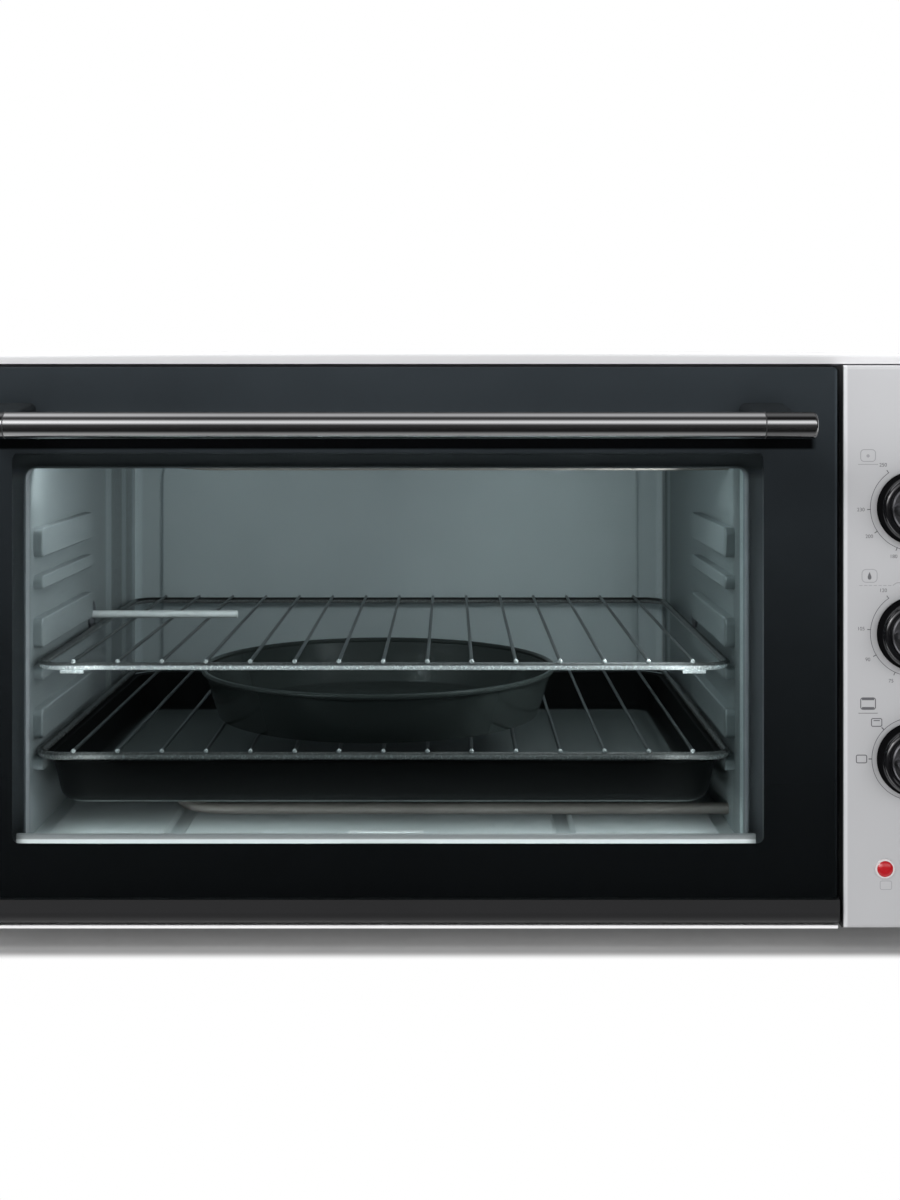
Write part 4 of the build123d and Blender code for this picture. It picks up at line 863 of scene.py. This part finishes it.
def studio_lamps():
    """The three soft lamps stay out of mirrors. Only the small window shows in the knobs."""
    add_lamp(
        "window_light", (-0.61, -0.89, 0.70), (0.10, 0.16), 0.8, middle("temperature_knob"),
        mirrored=True,
    )
    add_lamp("key_light", (-0.75, -1.25, 1.35), (0.7, 0.5), 11.0, OVEN_MIDDLE)
    add_lamp("fill_light", (1.1, -1.3, 0.8), (0.9, 0.9), 6.0, OVEN_MIDDLE)
    add_lamp("top_light", (0.0, 0.1, 1.6), (1.4, 1.0), 12.0, OVEN_MIDDLE)


# What the metal mirrors, chosen so that the handle's lines of light look as in the photo.
# Degrees from straight ahead, up and over the top to 180 behind, and below as minus; then a level.
MIRRORED_TURNS = (
    (-180, 0.04), (-149, 0.05), (-127, 0.11), (-112, 0.22), (-99, 0.32), (-88, 0.36), (-77, 0.32),
    (-66, 0.18), (-56, 0.04), (-50, 0.012), (-22, 0.012), (-9, 0.03), (-1, 0.035), (6, 0.10),
    (14, 0.40), (22, 0.92), (30, 1.0), (38, 0.70), (46, 0.25), (55, 0.07), (64, 0.04), (73, 0.10),
    (83, 0.34), (94, 0.58), (106, 0.58), (120, 0.30), (139, 0.10), (180, 0.04),
)
# The same from the far left, -1, to the far right, 1, as a gain on those levels.
MIRRORED_WIDTHS = (
    (-1, 0.01), (-0.93, 0.01), (-0.86, 0.9), (-0.60, 1.0), (-0.30, 0.34), (-0.14, 0.23),
    (0.86, 0.23), (0.93, 0.01), (1, 0.01),
)
MIRRORED_STRENGTH = 5.0
DEGREE = math.pi / 180
ROOM_LIGHT = (0.42, 0.42, 0.43, 1)
WHITE = (1, 1, 1, 1)


def studio_world():
    """White to the camera, an even grey as light, and bands of light and dark in mirrors."""
    world = bpy.data.worlds.new("studio")
    bpy.context.scene.world = world
    world.use_nodes = True
    tree = world.node_tree
    coords = tree.nodes.new("ShaderNodeTexCoord")
    split = tree.nodes.new("ShaderNodeSeparateXYZ")
    tree.links.new(coords.outputs["Generated"], split.inputs[0])
    ahead = maths(tree, "MULTIPLY", split.outputs["Y"], -1.0)
    turn = maths(tree, "ARCTAN2", split.outputs["Z"], ahead)
    around = ramp_over(tree, turn, MIRRORED_TURNS, DEGREE, blue=1.02)
    across = ramp_over(tree, split.outputs["X"], MIRRORED_WIDTHS, 1)
    mirrored = scaled(tree, around, maths(tree, "MULTIPLY", across, MIRRORED_STRENGTH))
    light_path = tree.nodes.new("ShaderNodeLightPath")
    lit = tree.nodes.new("ShaderNodeMix")
    lit.data_type = "RGBA"
    lit.inputs["A"].default_value = ROOM_LIGHT
    tree.links.new(light_path.outputs["Is Glossy Ray"], lit.inputs["Factor"])
    tree.links.new(mirrored.outputs["Vector"], lit.inputs["B"])
    direct = maths(
        tree, "MAXIMUM", light_path.outputs["Is Camera Ray"],
        light_path.outputs["Is Transmission Ray"],
    )
    seen = tree.nodes.new("ShaderNodeMix")
    seen.data_type = "RGBA"
    seen.inputs["B"].default_value = WHITE
    tree.links.new(direct, seen.inputs["Factor"])
    tree.links.new(lit.outputs["Result"], seen.inputs["A"])
    tree.links.new(seen.outputs["Result"], tree.nodes["Background"].inputs["Color"])


FLOOR_TONES = (0.58, 0.62)
FLOOR_GLOW = 0.05  # to the camera only
# Painted shade: the floor's paint is darker under the oven, from its front edge inward, to deepen
# the shadow there.
FLOOR_SHADE = 0.62  # gain of the floor's paint from the oven's front edge inward
FLOOR_REACH = 1.6


def studio_floor():
    """Pale floor that keeps the shadow under the oven, deepened there by painted shade, and is
    plain white around it.
    """
    front = low("door_outer_glass").y
    material, tree, bsdf = new_material("studio_floor")
    tree.nodes.remove(bsdf)
    light_path = tree.nodes.new("ShaderNodeLightPath")
    place_x, place_y = axis_place(tree, "X"), axis_place(tree, "Y")

    tones = remap(tree, noise(tree, object_coords(tree, (1, 1, 1)), 40), *FLOOR_TONES)
    # Painted shade under the oven.
    under = remap(tree, place_y, 1.0, FLOOR_SHADE, front + 0.030, front + 0.010)
    diffuse = tree.nodes.new("ShaderNodeBsdfDiffuse")
    tree.links.new(maths(tree, "MULTIPLY", tones, under), diffuse.inputs["Color"])
    glow = tree.nodes.new("ShaderNodeEmission")
    glow_level = maths(tree, "MULTIPLY", light_path.outputs["Is Camera Ray"], FLOOR_GLOW)
    tree.links.new(glow_level, glow.inputs["Strength"])
    shadowed = tree.nodes.new("ShaderNodeAddShader")
    tree.links.new(diffuse.outputs[0], shadowed.inputs[0])
    tree.links.new(glow.outputs[0], shadowed.inputs[1])

    (x0, _, _), (x1, y1, _) = cad_box
    outside = soft_step(tree, place_y, front + 0.009, front - 0.005)
    for place, start, stop in (
        (place_y, y1 - 0.02, y1 + 0.05), (place_x, x0 + 0.02, x0 - 0.05),
        (place_x, x1 - 0.02, x1 + 0.05),
    ):
        outside = maths(tree, "MAXIMUM", outside, soft_step(tree, place, start, stop))
    white = tree.nodes.new("ShaderNodeEmission")
    floor_shader = blend(tree, outside, shadowed.outputs[0], white.outputs[0])

    # Mirrors look through the floor ahead of the glass, so that it doesn't light the door's foot.
    ahead = maths(tree, "LESS_THAN", place_y, front)
    unseen = maths(tree, "MULTIPLY", ahead, light_path.outputs["Is Glossy Ray"])
    clear = tree.nodes.new("ShaderNodeBsdfTransparent")
    both = blend(tree, unseen, floor_shader, clear.outputs[0])
    tree.links.new(both, tree.nodes["Material Output"].inputs["Surface"])

    bm = bmesh.new()
    bmesh.ops.create_grid(bm, x_segments=24, y_segments=24, size=FLOOR_REACH)
    mesh = bpy.data.meshes.new("floor")
    bm.to_mesh(mesh)
    bm.free()
    mesh.materials.append(material)
    floor = bpy.data.objects.new("floor", mesh)
    bpy.context.scene.collection.objects.link(floor)


studio_camera()
cavity_lamps()
studio_lamps()
studio_world()
studio_floor()
